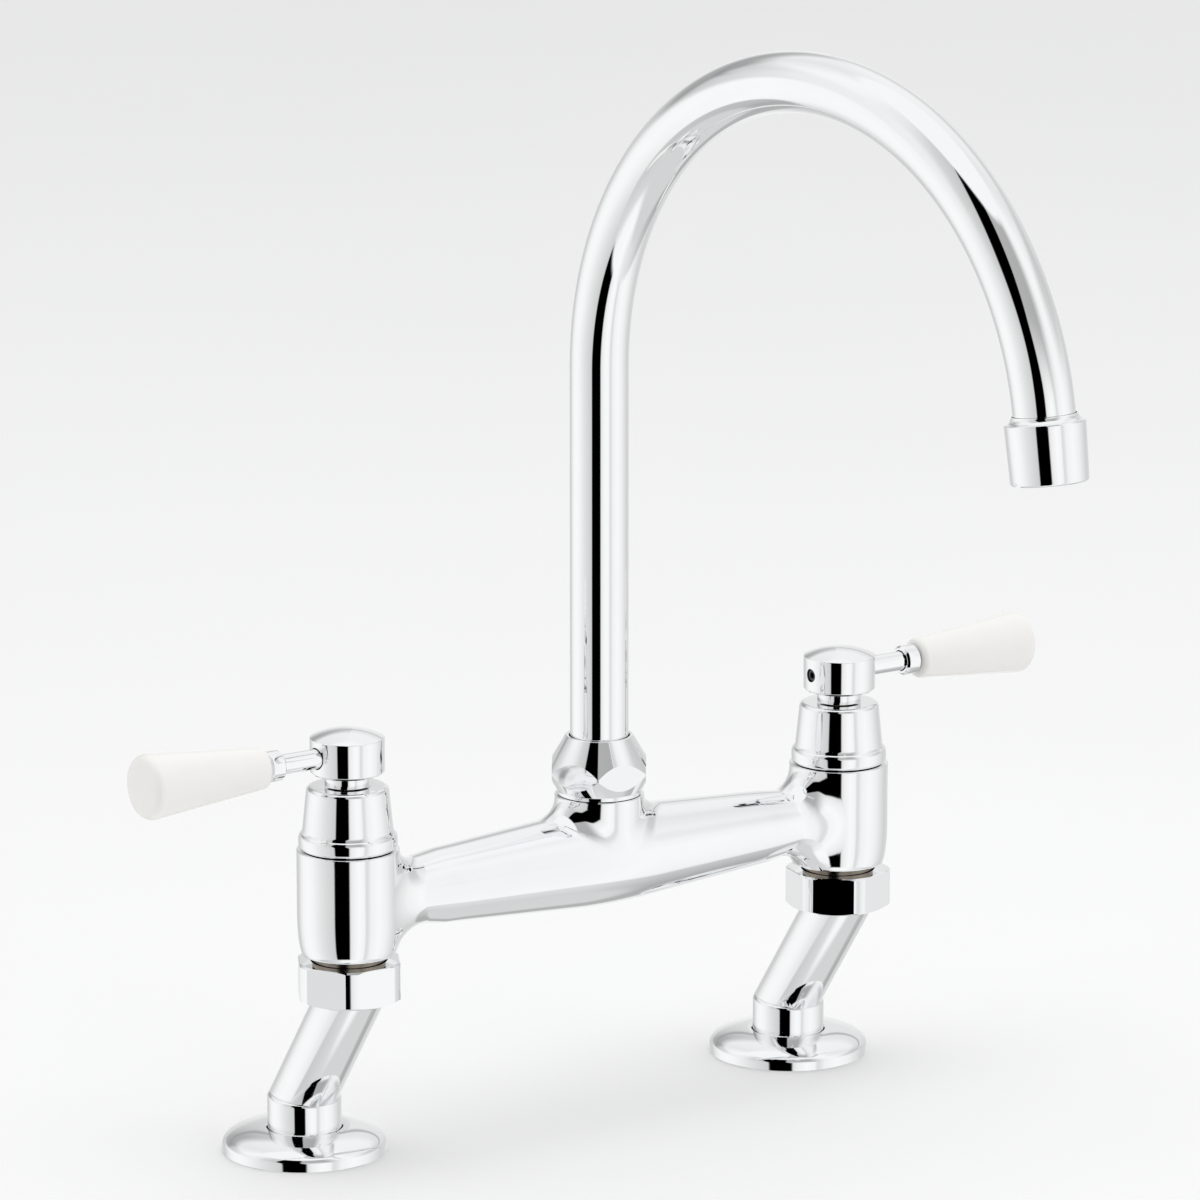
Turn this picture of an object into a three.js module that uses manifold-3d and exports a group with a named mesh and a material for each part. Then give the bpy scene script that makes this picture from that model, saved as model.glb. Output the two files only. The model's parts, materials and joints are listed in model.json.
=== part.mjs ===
// A deck-mounted two-hole bridge mixer tap with a swivelling swan-neck spout.
//
// Units are millimetres, +Z is up. The origin is on the deck, midway between the two tap holes.
// +X runs along the bridge to the cold side, and -Y is the user's side, where the spout points.
import * as THREE from 'three';
import { mergeVertices } from 'three/addons/utils/BufferGeometryUtils.js';
import Module from 'manifold-3d';

const wasm = await Module();
wasm.setup();

// ---------------------------------------------------------------- driving dimensions

const FIT_GAP = 0.3; // between two pieces that touch or seat on each other
const RUNNING_GAP = 0.35; // between a turning piece and what it turns in
const RING_GAP = 0.28; // round a rubber ring, in its groove and in its bore
const CUT_PAST = 1; // how far a cut runs past the face that it opens
const SINK = 1; // how far one form runs into another that it is joined to

const HOLE_SPACING = 200; // between the two tap holes, and between the two pillars
const CRANK = 28; // how far each leg steps the bridge forward of its hole

// flanges on the deck
const FLANGE_RADIUS = 27.5;
const FLANGE_HEIGHT = 8;
const FLANGE_WALL = 1.6;
const FLANGE_RIM_WIDTH = 3.4; // of the ring on which the flange stands
const FLANGE_RIM_HEIGHT = 2.6; // of the upright edge, below the dome
const DECK_SEAL_THICKNESS = 2;
const DECK_SEAL_WIDTH = 6;

// cranked legs
const COLLAR_RADIUS = 12.35;
const COLLAR_HEIGHT = 19.3; // to the middle of the joint with the slanted tube
const COLLAR_JOINT_TILT = 4; // degrees
const COLLAR_SHOULDER = 1; // how wide the sloping shoulder is round the slanted tube
const INLET_RADIUS = 9.3;
const INLET_DEPTH = 13;
const SLANT_RADIUS = 10.9;
const LEG_BORE_RADIUS = 7.2;
const TAIL_RADIUS = 9.4;
const TAIL_FLANGE_THICKNESS = 1.8;

// union nuts, with the nipple and the washer that they pull together
const UNION_NUT_BOTTOM = 58.8;
const UNION_NUT_HEIGHT = 13.2;
const UNION_NUT_FLATS = 32.9;
const UNION_NUT_TURNED_RADIUS = 17.9;
const UNION_NUT_CHAMFER = 1.1;
const UNION_NUT_TOP_CHAMFER = 0.5;
const UNION_LIP_HEIGHT = 3.3;
const UNION_THREAD_RADIUS = 12.4;
const UNION_WASHER_THICKNESS = 1.2;
const NIPPLE_NECK_RADIUS = 12.1;
const NIPPLE_SPIGOT_RADIUS = 10.4;
const NIPPLE_SPIGOT_LENGTH = 4.6;
const LEFT_UNION_NUT_TURN = 0; // degrees, where each nut came to rest
const RIGHT_UNION_NUT_TURN = 18;

// the bridge: two pillars, a bellied arm between them and a boss for the spout
const PILLAR_RADIUS = 16.9;
const PILLAR_BOTTOM = 74.2;
const PILLAR_TOP = 109.5;
const PILLAR_FOOT_RADIUS = 15;
const PILLAR_FOOT_ROUND = 14;
const ARM_LEVEL = 91.4;
const ARM_ROOT_RADIUS = 11.3;
const ARM_BELLY_RADIUS = 16.35;
const ARM_BELLY_ROUND = 14; // half the length of arm that the belly's round takes
const ARM_ROOT_FILLET = 10;
const ARM_BORE_RADIUS = 5;
const BOSS_INSET = 1.35; // how far the boss's sides stand in from the arm's belly
const BOSS_TOP = 113.3;
const BOSS_FILLET = 10;
const SIDE_FILLET_GAIN = 24; // how much larger the arm's and the boss's fillets are at their sides
const BOSS_NECK_RADIUS = 11.9;
const BOSS_NECK_HEIGHT = 8.7; // the neck screws into the spout nut
const VALVE_CHAMBER_RADIUS = 10.8;
const VALVE_SEAT_LEVEL = 82;
const VALVE_SEAT_RADIUS = 5.2;

// quarter-turn ceramic disc valves
const SEAT_WASHER_THICKNESS = 2;
const DISC_THICKNESS = 2.8;
const DISC_RADIUS = 7.2;
const DISC_PORT_ANGLE = 80; // degrees taken by each of the two ports
const DISC_PORT_INNER = 2;
const DISC_PORT_OUTER = 5.8;
const VALVE_BODY_RADIUS = 10.4;
const VALVE_HEX_FLATS = 21;
const VALVE_HEX_HEIGHT = 5;
const VALVE_WINDOW_WIDTH = 8;
const VALVE_WINDOW_HEIGHT = 5;
const VALVE_SHANK_RADIUS = 6.6;
const VALVE_SHANK_TOP = 127;
const SPINDLE_RADIUS = 4;
const SPINDLE_BASE_THICKNESS = 3.4;
const SPINDLE_HEAD_FLATS = 6;
const SPINDLE_HEAD_DROP = 2; // how far the head starts below the hub
const SPINDLE_TOP = 143.5;
const SPINDLE_RING_LEVEL = 118;
const SPINDLE_RING_THICKNESS = 1.6;
const SPINDLE_GROOVE_DEPTH = 1.2;

// bonnets over the valves
const BONNET_BEAD_RADIUS = 16.25;
const BONNET_BEAD_HEIGHT = 6.5;
const BONNET_BEAD_ROUND = 1.5; // how deep the bead's rounds are
const BONNET_BEAD_FACE = 1.7; // height of the upright face between them
const BONNET_BEAD_CROWN = 2.4; // height of the upper round
const BONNET_CONE_BOTTOM_RADIUS = 14.9;
const BONNET_CONE_TOP_RADIUS = 13.6;
const BONNET_TOP = 130.6;
const BONNET_TOP_ROUND = 1.6;
const BONNET_WALL = 1.6;
const BONNET_HOLE_RADIUS = 5.4;

// lever hubs, stems and handles
const HUB_RADIUS = 12.25;
const HUB_BOTTOM = 134.9;
const HUB_EDGE = 146.8;
const HUB_DOME = 3;
const HUB_CHAMFER = 0.8;
const HUB_NECK_RADIUS = 7.5;
const LEVER_LEVEL = 141.2;
const STEM_RADIUS = 3.35;
const STEM_ROOT = 6.8; // how far from the hub's axis the stem starts
const STEM_END = 66;
const FERRULE_RADIUS = 5.1;
const FERRULE_START = 26;
const FERRULE_LENGTH = 6;
const FERRULE_BEVEL = 0.8;
const HANDLE_LENGTH = 46;
const HANDLE_THIN_RADIUS = 6.95;
const HANDLE_THICK_RADIUS = 10.7;
const HANDLE_THIN_ROUND = 1.8;
const HANDLE_THICK_ROUND = 3;
const SET_SCREW_RADIUS = 2;
const SET_SCREW_LENGTH = 6;
const SET_SCREW_SOCKET_FLATS = 2;
const SET_SCREW_SOCKET_DEPTH = 2.2;
const SET_SCREW_INSET = 0.6;

// spout nut
const SPOUT_NUT_FLATS = 31.3;
const SPOUT_NUT_SKIRT_RADIUS = 14.3;
const SPOUT_NUT_SKIRT_HEIGHT = 1.2;
const SPOUT_NUT_WAIST_LEVEL = 121.2; // where the lower cone ends
const SPOUT_NUT_WAIST_HEIGHT = 0.8;
const SPOUT_NUT_WAIST_RADIUS = 18;
const SPOUT_NUT_TOP = 133.4;
const SPOUT_NUT_TOP_RADIUS = 11.3;
const SPOUT_NUT_ROOF = 7;
const SPOUT_NUT_TURN = -6.3; // degrees

// spout
const SPOUT_SWING = 5.2; // degrees that the spout stands turned towards the cold side
const SPOUT_RADIUS = 9.8;
const SPOUT_WALL = 1.2;
const SPOUT_RISE = 258.3; // level where the straight riser turns into the bend
const SPOUT_BEND_RADIUS = 106;
const SPOUT_BEND_SWEEP = 172; // degrees
const SPIGOT_BOTTOM = 97;
const SPIGOT_BORE_RADIUS = 6;
const SPIGOT_SHOULDER = 3; // height of the shoulder above the bush
const SPIGOT_SOCKET_LENGTH = 9;
const SPIGOT_GROOVE_DEPTH = 1.9;
const SPIGOT_RING_THICKNESS = 2.4;
const SPIGOT_RING_INSET = 4; // from the spigot's bottom to its lower seal ring
const SPIGOT_RING_SPACING = 8;
const BUSH_HEIGHT = 3;
const BUSH_SPLIT = 1.6;

// outlet, aerator and its parts, with levels that run down the water from the spout's end
const OUTLET_LENGTH = 11;
const OUTLET_SHOULDER_LEVEL = 1.9; // where the sleeve's thread starts
const OUTLET_THREAD_RADIUS = 11;
const OUTLET_BORE_RADIUS = 7.4;
const AERATOR_START = -1.5;
const AERATOR_COVE_LEVEL = 0.7; // where the hollow shoulder ends
const AERATOR_COVE_START_RADIUS = 10.5;
const AERATOR_COVE_END_RADIUS = 12.4;
const AERATOR_TOP_RADIUS = 12.75;
const AERATOR_END_RADIUS = 12.3;
const AERATOR_END = 19.7;
const AERATOR_LIP = 2.2;
const AERATOR_LIP_RADIUS = 9.6;
const AERATOR_EDGE_ROUND = 0.9;
const AERATOR_SLOT_WIDTH = 2.6; // two slots for the key, in the end
const AERATOR_SLOT_DEPTH = 1.4;
const AERATOR_SLOT_TURN = 8; // degrees
const AERATOR_SEAL_THICKNESS = 1.6;
const INSERT_WEB = 2;
const INSERT_CUP_MARGIN = 2; // between the ring of holes and the cup's wall
const INSERT_HOLE_RADIUS = 1;
const INSERT_HOLE_RING = 5.6;
const INSERT_HOLE_COUNT = 8;

// how finely round forms are faceted
const FINE = 20; // facets of the large turned forms
const MEDIUM = 14;
const COARSE = 10; // facets of the smallest
const ROLL_SAMPLES = 40; // places tried when a fillet's circle is rolled against a surface
const FILLET_STEPS = 4;
const ROUND_STEPS = 3; // steps in an edge's round
const BEND_STEPS = 5; // steps in a longer round
const SPOUT_STEPS = 32;

// ---------------------------------------------------------------- materials

const chrome = () => new THREE.MeshStandardMaterial({ color: 0xe8eaec, roughness: 0.06, metalness: 1 });
const brass = () => new THREE.MeshStandardMaterial({ color: 0xb59a62, roughness: 0.35, metalness: 1 });
const ceramic = () => new THREE.MeshStandardMaterial({ color: 0xf6f5f2, roughness: 0.12, metalness: 0 });
const discCeramic = () => new THREE.MeshStandardMaterial({ color: 0xd9d4c8, roughness: 0.2, metalness: 0 });
const rubber = () => new THREE.MeshStandardMaterial({ color: 0x1d1d1f, roughness: 0.8, metalness: 0 });
const fibre = () => new THREE.MeshStandardMaterial({ color: 0x8a3b2c, roughness: 0.9, metalness: 0 });
const plastic = () => new THREE.MeshStandardMaterial({ color: 0xe9e7e1, roughness: 0.45, metalness: 0 });
const steel = () => new THREE.MeshStandardMaterial({ color: 0x55565a, roughness: 0.4, metalness: 1 });

// ---------------------------------------------------------------- solids

const radians = THREE.MathUtils.degToRad;

function toSolid(geometry) {
  const bare = geometry.clone();
  for (const name of Object.keys(bare.attributes)) {
    if (name !== 'position') bare.deleteAttribute(name);
  }
  const welded = mergeVertices(bare, 1e-4);
  return new wasm.Manifold(new wasm.Mesh({
    numProp: 3,
    vertProperties: new Float32Array(welded.attributes.position.array),
    triVerts: new Uint32Array(welded.index.array),
  }));
}

function toGeometry(solid) {
  const mesh = solid.getMesh();
  const geometry = new THREE.BufferGeometry();
  geometry.setAttribute('position', new THREE.BufferAttribute(new Float32Array(mesh.vertProperties), 3));
  geometry.setIndex(new THREE.BufferAttribute(new Uint32Array(mesh.triVerts), 1));
  geometry.computeVertexNormals();
  return geometry;
}

// Joins the first geometry with those in add, then cuts those in cut out of it.
function carve(first, { add = [], cut = [], keep = [] }) {
  let solid = toSolid(first);
  for (const geometry of add) solid = solid.add(toSolid(geometry));
  for (const geometry of cut) solid = solid.subtract(toSolid(geometry));
  for (const geometry of keep) solid = solid.intersect(toSolid(geometry));
  return toGeometry(solid);
}

// A turned piece on the Z axis, from [radius, level] points. They run up the outside, from the
// bottom on the axis to the top on the axis, or close on themselves for a ring.
function turned(profile, facets = MEDIUM) {
  const points = profile.map(([radius, level]) => new THREE.Vector2(radius, level));
  return new THREE.LatheGeometry(points, facets).rotateX(Math.PI / 2);
}

function ring(inner, outer, bottom, top, facets = MEDIUM) {
  return turned([[inner, bottom], [outer, bottom], [outer, top], [inner, top], [inner, bottom]], facets);
}

function rod(radius, bottom, top, facets = MEDIUM) {
  return turned([[0, bottom], [radius, bottom], [radius, top], [0, top]], facets);
}

// Points on an arc about a centre, from one angle to another, in degrees.
function arc([centreX, centreY], [radiusX, radiusY], from, to, steps) {
  return Array.from({ length: steps + 1 }, (_, step) => {
    const angle = radians(from + ((to - from) * step) / steps);
    return [centreX + radiusX * Math.cos(angle), centreY + radiusY * Math.sin(angle)];
  });
}

function hexagon(flats, bottom, top) {
  const corner = flats / Math.sqrt(3);
  const outline = arc([0, 0], [corner, corner], 0, 300, 5).map(([x, y]) => new THREE.Vector2(x, y));
  const options = { depth: top - bottom, bevelEnabled: false };
  return new THREE.ExtrudeGeometry(new THREE.Shape(outline), options).translate(0, 0, bottom);
}

function box(width, depth, height, x, y, z) {
  return new THREE.BoxGeometry(width, depth, height).translate(x, y, z);
}

// Turns a piece made on the Z axis so that it lies along +X, at the level of the levers.
function alongLever(geometry) {
  return geometry.rotateY(Math.PI / 2).translate(0, 0, LEVER_LEVEL);
}

function named(name, geometry, material) {
  const mesh = new THREE.Mesh(geometry, material);
  mesh.name = name;
  return mesh;
}

// ---------------------------------------------------------------- bridge

// The arm's radius at a distance along it from the middle: straight tapers with a round belly.
function armRadius(x) {
  const along = Math.abs(x);
  const rootDistance = HOLE_SPACING / 2 - PILLAR_RADIUS;
  const taper = (2 * (ARM_BELLY_RADIUS - ARM_ROOT_RADIUS)) / (2 * rootDistance - ARM_BELLY_ROUND);
  if (along < ARM_BELLY_ROUND) return ARM_BELLY_RADIUS - (taper * along ** 2) / (2 * ARM_BELLY_ROUND);
  return ARM_BELLY_RADIUS - taper * (along - ARM_BELLY_ROUND / 2);
}

// The fillet between a round stub and the surface that it runs into, in one plane through the
// stub's axis. surfaceAt gives how far along the stub the surface lies, at a radius from its axis.
// A circle is rolled along the stub until it touches, and its arc is returned as
// [radius, distance along the stub] points, with a last point sunk below the surface. Where the
// circle reaches past the stub's own end, its arc starts just inside that end.
function rolledFillet(stubRadius, filletRadius, surfaceAt) {
  let centre = Infinity;
  let contactRadius = stubRadius;
  for (let sample = 0; sample <= ROLL_SAMPLES; sample += 1) {
    const radius = stubRadius + (filletRadius * sample) / ROLL_SAMPLES;
    const reach = Math.sqrt(filletRadius ** 2 - (radius - stubRadius - filletRadius) ** 2);
    const candidate = surfaceAt(radius) - reach;
    if (candidate < centre) {
      centre = candidate;
      contactRadius = radius;
    }
  }
  const rollRadius = stubRadius + filletRadius;
  const end = THREE.MathUtils.radToDeg(Math.asin((contactRadius - rollRadius) / filletRadius));
  const start = centre > 0 ? -90 : 1 - THREE.MathUtils.radToDeg(Math.acos(-centre / filletRadius));
  const round = arc([centre, rollRadius], [filletRadius, filletRadius], start, end, FILLET_STEPS);
  const points = round.map(([along, radius]) => [radius, along]);
  points.push([contactRadius - SINK, surfaceAt(contactRadius) + 2 * SINK]);
  return points;
}

// A fillet's radius at an angle round its stub: it grows quickly towards the stub's two sides.
function filletAt(angle, filletRadius) {
  return filletRadius + SIDE_FILLET_GAIN * Math.cos(angle) ** 4;
}

// A lathe whose profile changes as it goes round: profileAt gives the [radius, level] points at
// an angle, always the same number of them, from the bottom on the axis to the top on the axis.
function turnedVarying(profileAt, facets) {
  const geometry = turned(profileAt(0), facets);
  const position = geometry.attributes.position;
  const count = profileAt(0).length;
  for (let facet = 0; facet <= facets; facet += 1) {
    const angle = ((facet % facets) * 2 * Math.PI) / facets;
    profileAt(angle).forEach(([radius, level], point) => {
      const place = [radius * Math.sin(angle), -radius * Math.cos(angle), level];
      position.setXYZ(facet * count + point, ...place);
    });
  }
  return geometry;
}

// A pillar's radius at a level: straight above, drawn in by a round at its foot.
function pillarRadius(level) {
  const drop = Math.max(0, PILLAR_BOTTOM + PILLAR_FOOT_ROUND - level);
  const share = Math.min(1, drop / PILLAR_FOOT_ROUND);
  return PILLAR_FOOT_RADIUS + (PILLAR_RADIUS - PILLAR_FOOT_RADIUS) * Math.sqrt(1 - share ** 2);
}

// The arm is made upright and then laid along X, so an angle of 90 degrees comes to face down.
// Its root fillets are cut off level with the tops and the feet of the pillars.
function bridgeArm() {
  const belly = Array.from({ length: BEND_STEPS }, (_, step) => (ARM_BELLY_ROUND * (step + 1)) / BEND_STEPS);
  const endLevel = HOLE_SPACING / 2 - PILLAR_RADIUS / 2;
  const surfaceAt = (angle) => (radius) => {
    const sideways = radius * Math.cos(angle);
    const pillarHere = pillarRadius(ARM_LEVEL - radius * Math.sin(angle));
    if (Math.abs(sideways) > pillarHere) return Infinity;
    return HOLE_SPACING / 2 - Math.sqrt(pillarHere ** 2 - sideways ** 2);
  };
  const profileAt = (angle) => {
    const root = rolledFillet(ARM_ROOT_RADIUS, filletAt(angle, ARM_ROOT_FILLET), surfaceAt(angle));
    const upper = [...belly.map((along) => [armRadius(along), along]), ...root, [0, endLevel]];
    const lower = upper.map(([radius, along]) => [radius, -along]).reverse();
    return [...lower, [armRadius(0), 0], ...upper];
  };
  const arm = turnedVarying(profileAt, FINE).rotateY(Math.PI / 2).translate(0, 0, ARM_LEVEL);
  const pillarHeight = PILLAR_TOP - PILLAR_BOTTOM;
  const slab = box(2 * HOLE_SPACING, HOLE_SPACING, pillarHeight, 0, 0, PILLAR_BOTTOM + pillarHeight / 2);
  return carve(arm, { keep: [slab] });
}

const BOSS_RADIUS = ARM_BELLY_RADIUS - BOSS_INSET;

// The boss runs down from its top into the belly of the arm.
function spoutBoss() {
  const floor = BOSS_TOP - ARM_LEVEL;
  const surfaceAt = (angle) => (radius) => {
    const across = radius * Math.cos(angle);
    const belly = armRadius(radius * Math.sin(angle));
    if (Math.abs(across) > belly) return Infinity;
    return floor - Math.sqrt(belly ** 2 - across ** 2);
  };
  const profileAt = (angle) => {
    const root = rolledFillet(BOSS_RADIUS, filletAt(angle, BOSS_FILLET), surfaceAt(angle));
    const downward = [[0, 0], [root[0][0], 0], ...root, [0, floor]];
    return downward.map(([radius, drop]) => [radius, BOSS_TOP - drop]).reverse();
  };
  return turnedVarying(profileAt, FINE);
}

function pillar() {
  const footRound = [PILLAR_RADIUS - PILLAR_FOOT_RADIUS, PILLAR_FOOT_ROUND];
  const foot = arc([PILLAR_FOOT_RADIUS, PILLAR_BOTTOM + PILLAR_FOOT_ROUND], footRound, -90, 0, BEND_STEPS);
  return turned([[0, PILLAR_BOTTOM], ...foot, [PILLAR_RADIUS, PILLAR_TOP], [0, PILLAR_TOP]], FINE);
}

// What is bored out of a pillar: the nipple's socket, the valve seat and the valve's chamber.
function pillarBore() {
  const socketRadius = NIPPLE_SPIGOT_RADIUS + FIT_GAP;
  const socketTop = PILLAR_BOTTOM + NIPPLE_SPIGOT_LENGTH + FIT_GAP;
  return turned([
    [0, PILLAR_BOTTOM - CUT_PAST],
    [socketRadius, PILLAR_BOTTOM - CUT_PAST],
    [socketRadius, socketTop],
    [VALVE_SEAT_RADIUS, socketTop],
    [VALVE_SEAT_RADIUS, VALVE_SEAT_LEVEL],
    [VALVE_CHAMBER_RADIUS, VALVE_SEAT_LEVEL],
    [VALVE_CHAMBER_RADIUS, PILLAR_TOP + CUT_PAST],
    [0, PILLAR_TOP + CUT_PAST],
  ]);
}

// What is bored out of the boss: the spigot's running bore and the way down to the arm's bore.
function bossBore() {
  const runningRadius = SPOUT_RADIUS + RUNNING_GAP;
  const floor = SPIGOT_BOTTOM - FIT_GAP;
  const top = BOSS_TOP + BOSS_NECK_HEIGHT + CUT_PAST;
  return turned([
    [0, ARM_LEVEL],
    [SPIGOT_BORE_RADIUS, ARM_LEVEL],
    [SPIGOT_BORE_RADIUS, floor],
    [runningRadius, floor],
    [runningRadius, top],
    [0, top],
  ]);
}

function bridgeBody() {
  const half = HOLE_SPACING / 2;
  const neck = rod(BOSS_NECK_RADIUS, BOSS_TOP - BOSS_FILLET, BOSS_TOP + BOSS_NECK_HEIGHT);
  const armBore = rod(ARM_BORE_RADIUS, -half, half).rotateY(Math.PI / 2).translate(0, 0, ARM_LEVEL);
  return carve(bridgeArm(), {
    add: [pillar().translate(-half, 0, 0), pillar().translate(half, 0, 0), spoutBoss(), neck],
    cut: [pillarBore().translate(-half, 0, 0), pillarBore().translate(half, 0, 0), bossBore(), armBore],
  });
}

// ---------------------------------------------------------------- legs and unions

const FLANGE_HOLLOW_RADIUS = FLANGE_RADIUS - FLANGE_RIM_WIDTH;

// An upright edge on the deck, with a shallow dome above it that rises to the leg's collar.
function flange() {
  const hole = COLLAR_RADIUS + FIT_GAP;
  const domeRadii = [FLANGE_RADIUS - hole, FLANGE_HEIGHT - FLANGE_RIM_HEIGHT];
  return turned([
    [FLANGE_HOLLOW_RADIUS, 0],
    [FLANGE_RADIUS, 0],
    ...arc([hole, FLANGE_RIM_HEIGHT], domeRadii, 0, 90, BEND_STEPS),
    [hole, FLANGE_HEIGHT - FLANGE_WALL],
    [FLANGE_HOLLOW_RADIUS, FLANGE_RIM_HEIGHT],
    [FLANGE_HOLLOW_RADIUS, 0],
  ], FINE);
}

function deckSeal() {
  const outer = FLANGE_HOLLOW_RADIUS - FIT_GAP;
  return ring(outer - DECK_SEAL_WIDTH, outer, 0, DECK_SEAL_THICKNESS);
}

const TAIL_FLANGE_BOTTOM = UNION_NUT_BOTTOM + UNION_LIP_HEIGHT + FIT_GAP;
const TAIL_FLANGE_TOP = TAIL_FLANGE_BOTTOM + TAIL_FLANGE_THICKNESS;
const UNION_WASHER_BOTTOM = TAIL_FLANGE_TOP + FIT_GAP;
const NIPPLE_BOTTOM = UNION_WASHER_BOTTOM + UNION_WASHER_THICKNESS + FIT_GAP;

// A leg stands in its hole, leans forward by the crank and ends in a flanged tail in the union.
// It is made with the pillar's axis on Z.
function leg() {
  const slantTop = UNION_NUT_BOTTOM - FIT_GAP;
  const rise = slantTop - COLLAR_HEIGHT;
  const lean = Math.atan(CRANK / rise);
  const spare = 2 * SLANT_RADIUS;
  const blockSize = 8 * COLLAR_RADIUS;
  const slanted = (radius, below, above) => rod(radius, -below, rise / Math.cos(lean) + above)
    .rotateX(lean)
    .translate(0, CRANK, COLLAR_HEIGHT);
  // All that lies above the tilted joint between the collar and the slanted tube.
  const aboveJoint = (sink) => box(blockSize, blockSize, blockSize, 0, 0, blockSize / 2 - sink)
    .rotateX(radians(COLLAR_JOINT_TILT))
    .translate(0, CRANK, COLLAR_HEIGHT);
  const slant = carve(slanted(SLANT_RADIUS, spare, spare), {
    cut: [box(blockSize, blockSize, blockSize, 0, 0, slantTop + blockSize / 2)],
    keep: [aboveJoint(FIT_GAP)],
  });
  // A cone under the tilted joint, which ends the collar in a sloping shoulder.
  const shoulderTop = COLLAR_RADIUS - COLLAR_SHOULDER;
  const underJoint = turned([
    [0, -blockSize],
    [shoulderTop + blockSize, -blockSize],
    [shoulderTop, 0],
    [0, 0],
  ], FINE)
    .rotateX(radians(COLLAR_JOINT_TILT))
    .translate(0, CRANK, COLLAR_HEIGHT);
  const collar = carve(rod(COLLAR_RADIUS, 0, COLLAR_HEIGHT + COLLAR_RADIUS, FINE).translate(0, CRANK, 0), {
    keep: [underJoint],
  });
  const tail = turned([
    [0, slantTop - SINK],
    [TAIL_RADIUS, slantTop - SINK],
    [TAIL_RADIUS, TAIL_FLANGE_BOTTOM],
    [UNION_THREAD_RADIUS - FIT_GAP, TAIL_FLANGE_BOTTOM],
    [UNION_THREAD_RADIUS - FIT_GAP, TAIL_FLANGE_TOP],
    [0, TAIL_FLANGE_TOP],
  ]);
  const inlet = rod(INLET_RADIUS, -CUT_PAST, INLET_DEPTH).translate(0, CRANK, 0);
  const lowerWay = rod(LEG_BORE_RADIUS, 0, COLLAR_HEIGHT).translate(0, CRANK, 0);
  const upperWay = rod(LEG_BORE_RADIUS, slantTop - LEG_BORE_RADIUS, TAIL_FLANGE_TOP + CUT_PAST);
  const ways = [lowerWay, slanted(LEG_BORE_RADIUS, 0, 0), upperWay];
  return carve(collar, { add: [slant, tail], cut: [inlet, ...ways] });
}

// A hexagon nut with turned ends: six flats within a turned outline.
function nutBlank(flats, bottom, top, outline) {
  return carve(hexagon(flats, bottom, top), { keep: [turned(outline, FINE)] });
}

function unionNut() {
  const bottom = UNION_NUT_BOTTOM;
  const top = bottom + UNION_NUT_HEIGHT;
  const edge = UNION_NUT_TURNED_RADIUS;
  const outline = [
    [0, bottom],
    [edge - 2 * UNION_NUT_CHAMFER, bottom],
    [edge, bottom + UNION_NUT_CHAMFER],
    [edge, top - UNION_NUT_TOP_CHAMFER],
    [edge - 2 * UNION_NUT_TOP_CHAMFER, top],
    [0, top],
  ];
  const thread = rod(UNION_THREAD_RADIUS + FIT_GAP, bottom + UNION_LIP_HEIGHT, top + CUT_PAST);
  const tailHole = rod(TAIL_RADIUS + FIT_GAP, bottom - CUT_PAST, top);
  return carve(nutBlank(UNION_NUT_FLATS, bottom, top, outline), { cut: [thread, tailHole] });
}

function unionWasher() {
  const top = UNION_WASHER_BOTTOM + UNION_WASHER_THICKNESS;
  return ring(LEG_BORE_RADIUS, NIPPLE_NECK_RADIUS - FIT_GAP, UNION_WASHER_BOTTOM, top);
}

function unionNipple() {
  const shoulder = PILLAR_BOTTOM - FIT_GAP;
  const top = shoulder + NIPPLE_SPIGOT_LENGTH;
  return turned([
    [LEG_BORE_RADIUS, NIPPLE_BOTTOM],
    [NIPPLE_NECK_RADIUS, NIPPLE_BOTTOM],
    [NIPPLE_NECK_RADIUS, shoulder],
    [NIPPLE_SPIGOT_RADIUS, shoulder],
    [NIPPLE_SPIGOT_RADIUS, top],
    [LEG_BORE_RADIUS, top],
    [LEG_BORE_RADIUS, NIPPLE_BOTTOM],
  ]);
}

// ---------------------------------------------------------------- valves

const WASHER_BOTTOM = VALVE_SEAT_LEVEL + FIT_GAP;
const FIXED_DISC_BOTTOM = WASHER_BOTTOM + SEAT_WASHER_THICKNESS + FIT_GAP;
const MOVING_DISC_BOTTOM = FIXED_DISC_BOTTOM + DISC_THICKNESS + FIT_GAP;
const SPINDLE_BOTTOM = MOVING_DISC_BOTTOM + DISC_THICKNESS + FIT_GAP;
const SPINDLE_BASE_TOP = SPINDLE_BOTTOM + SPINDLE_BASE_THICKNESS;
const VALVE_HEX_BOTTOM = PILLAR_TOP + FIT_GAP;

function seatWasher() {
  return ring(VALVE_SEAT_RADIUS, DISC_RADIUS, WASHER_BOTTOM, WASHER_BOTTOM + SEAT_WASHER_THICKNESS);
}

// A ceramic disc with two opposite ports. turn is where the ports lie, in degrees.
function portedDisc(bottom, turn) {
  const port = (middle) => {
    const from = radians(middle - DISC_PORT_ANGLE / 2);
    const to = radians(middle + DISC_PORT_ANGLE / 2);
    const outline = new THREE.Shape();
    outline.absarc(0, 0, DISC_PORT_OUTER, from, to, false);
    outline.absarc(0, 0, DISC_PORT_INNER, to, from, true);
    const depth = DISC_THICKNESS + 2 * CUT_PAST;
    const cut = new THREE.ExtrudeGeometry(outline, { depth, bevelEnabled: false, curveSegments: BEND_STEPS });
    return cut.translate(0, 0, bottom - CUT_PAST);
  };
  return carve(rod(DISC_RADIUS, bottom, bottom + DISC_THICKNESS), { cut: [port(turn), port(turn + 180)] });
}

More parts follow.
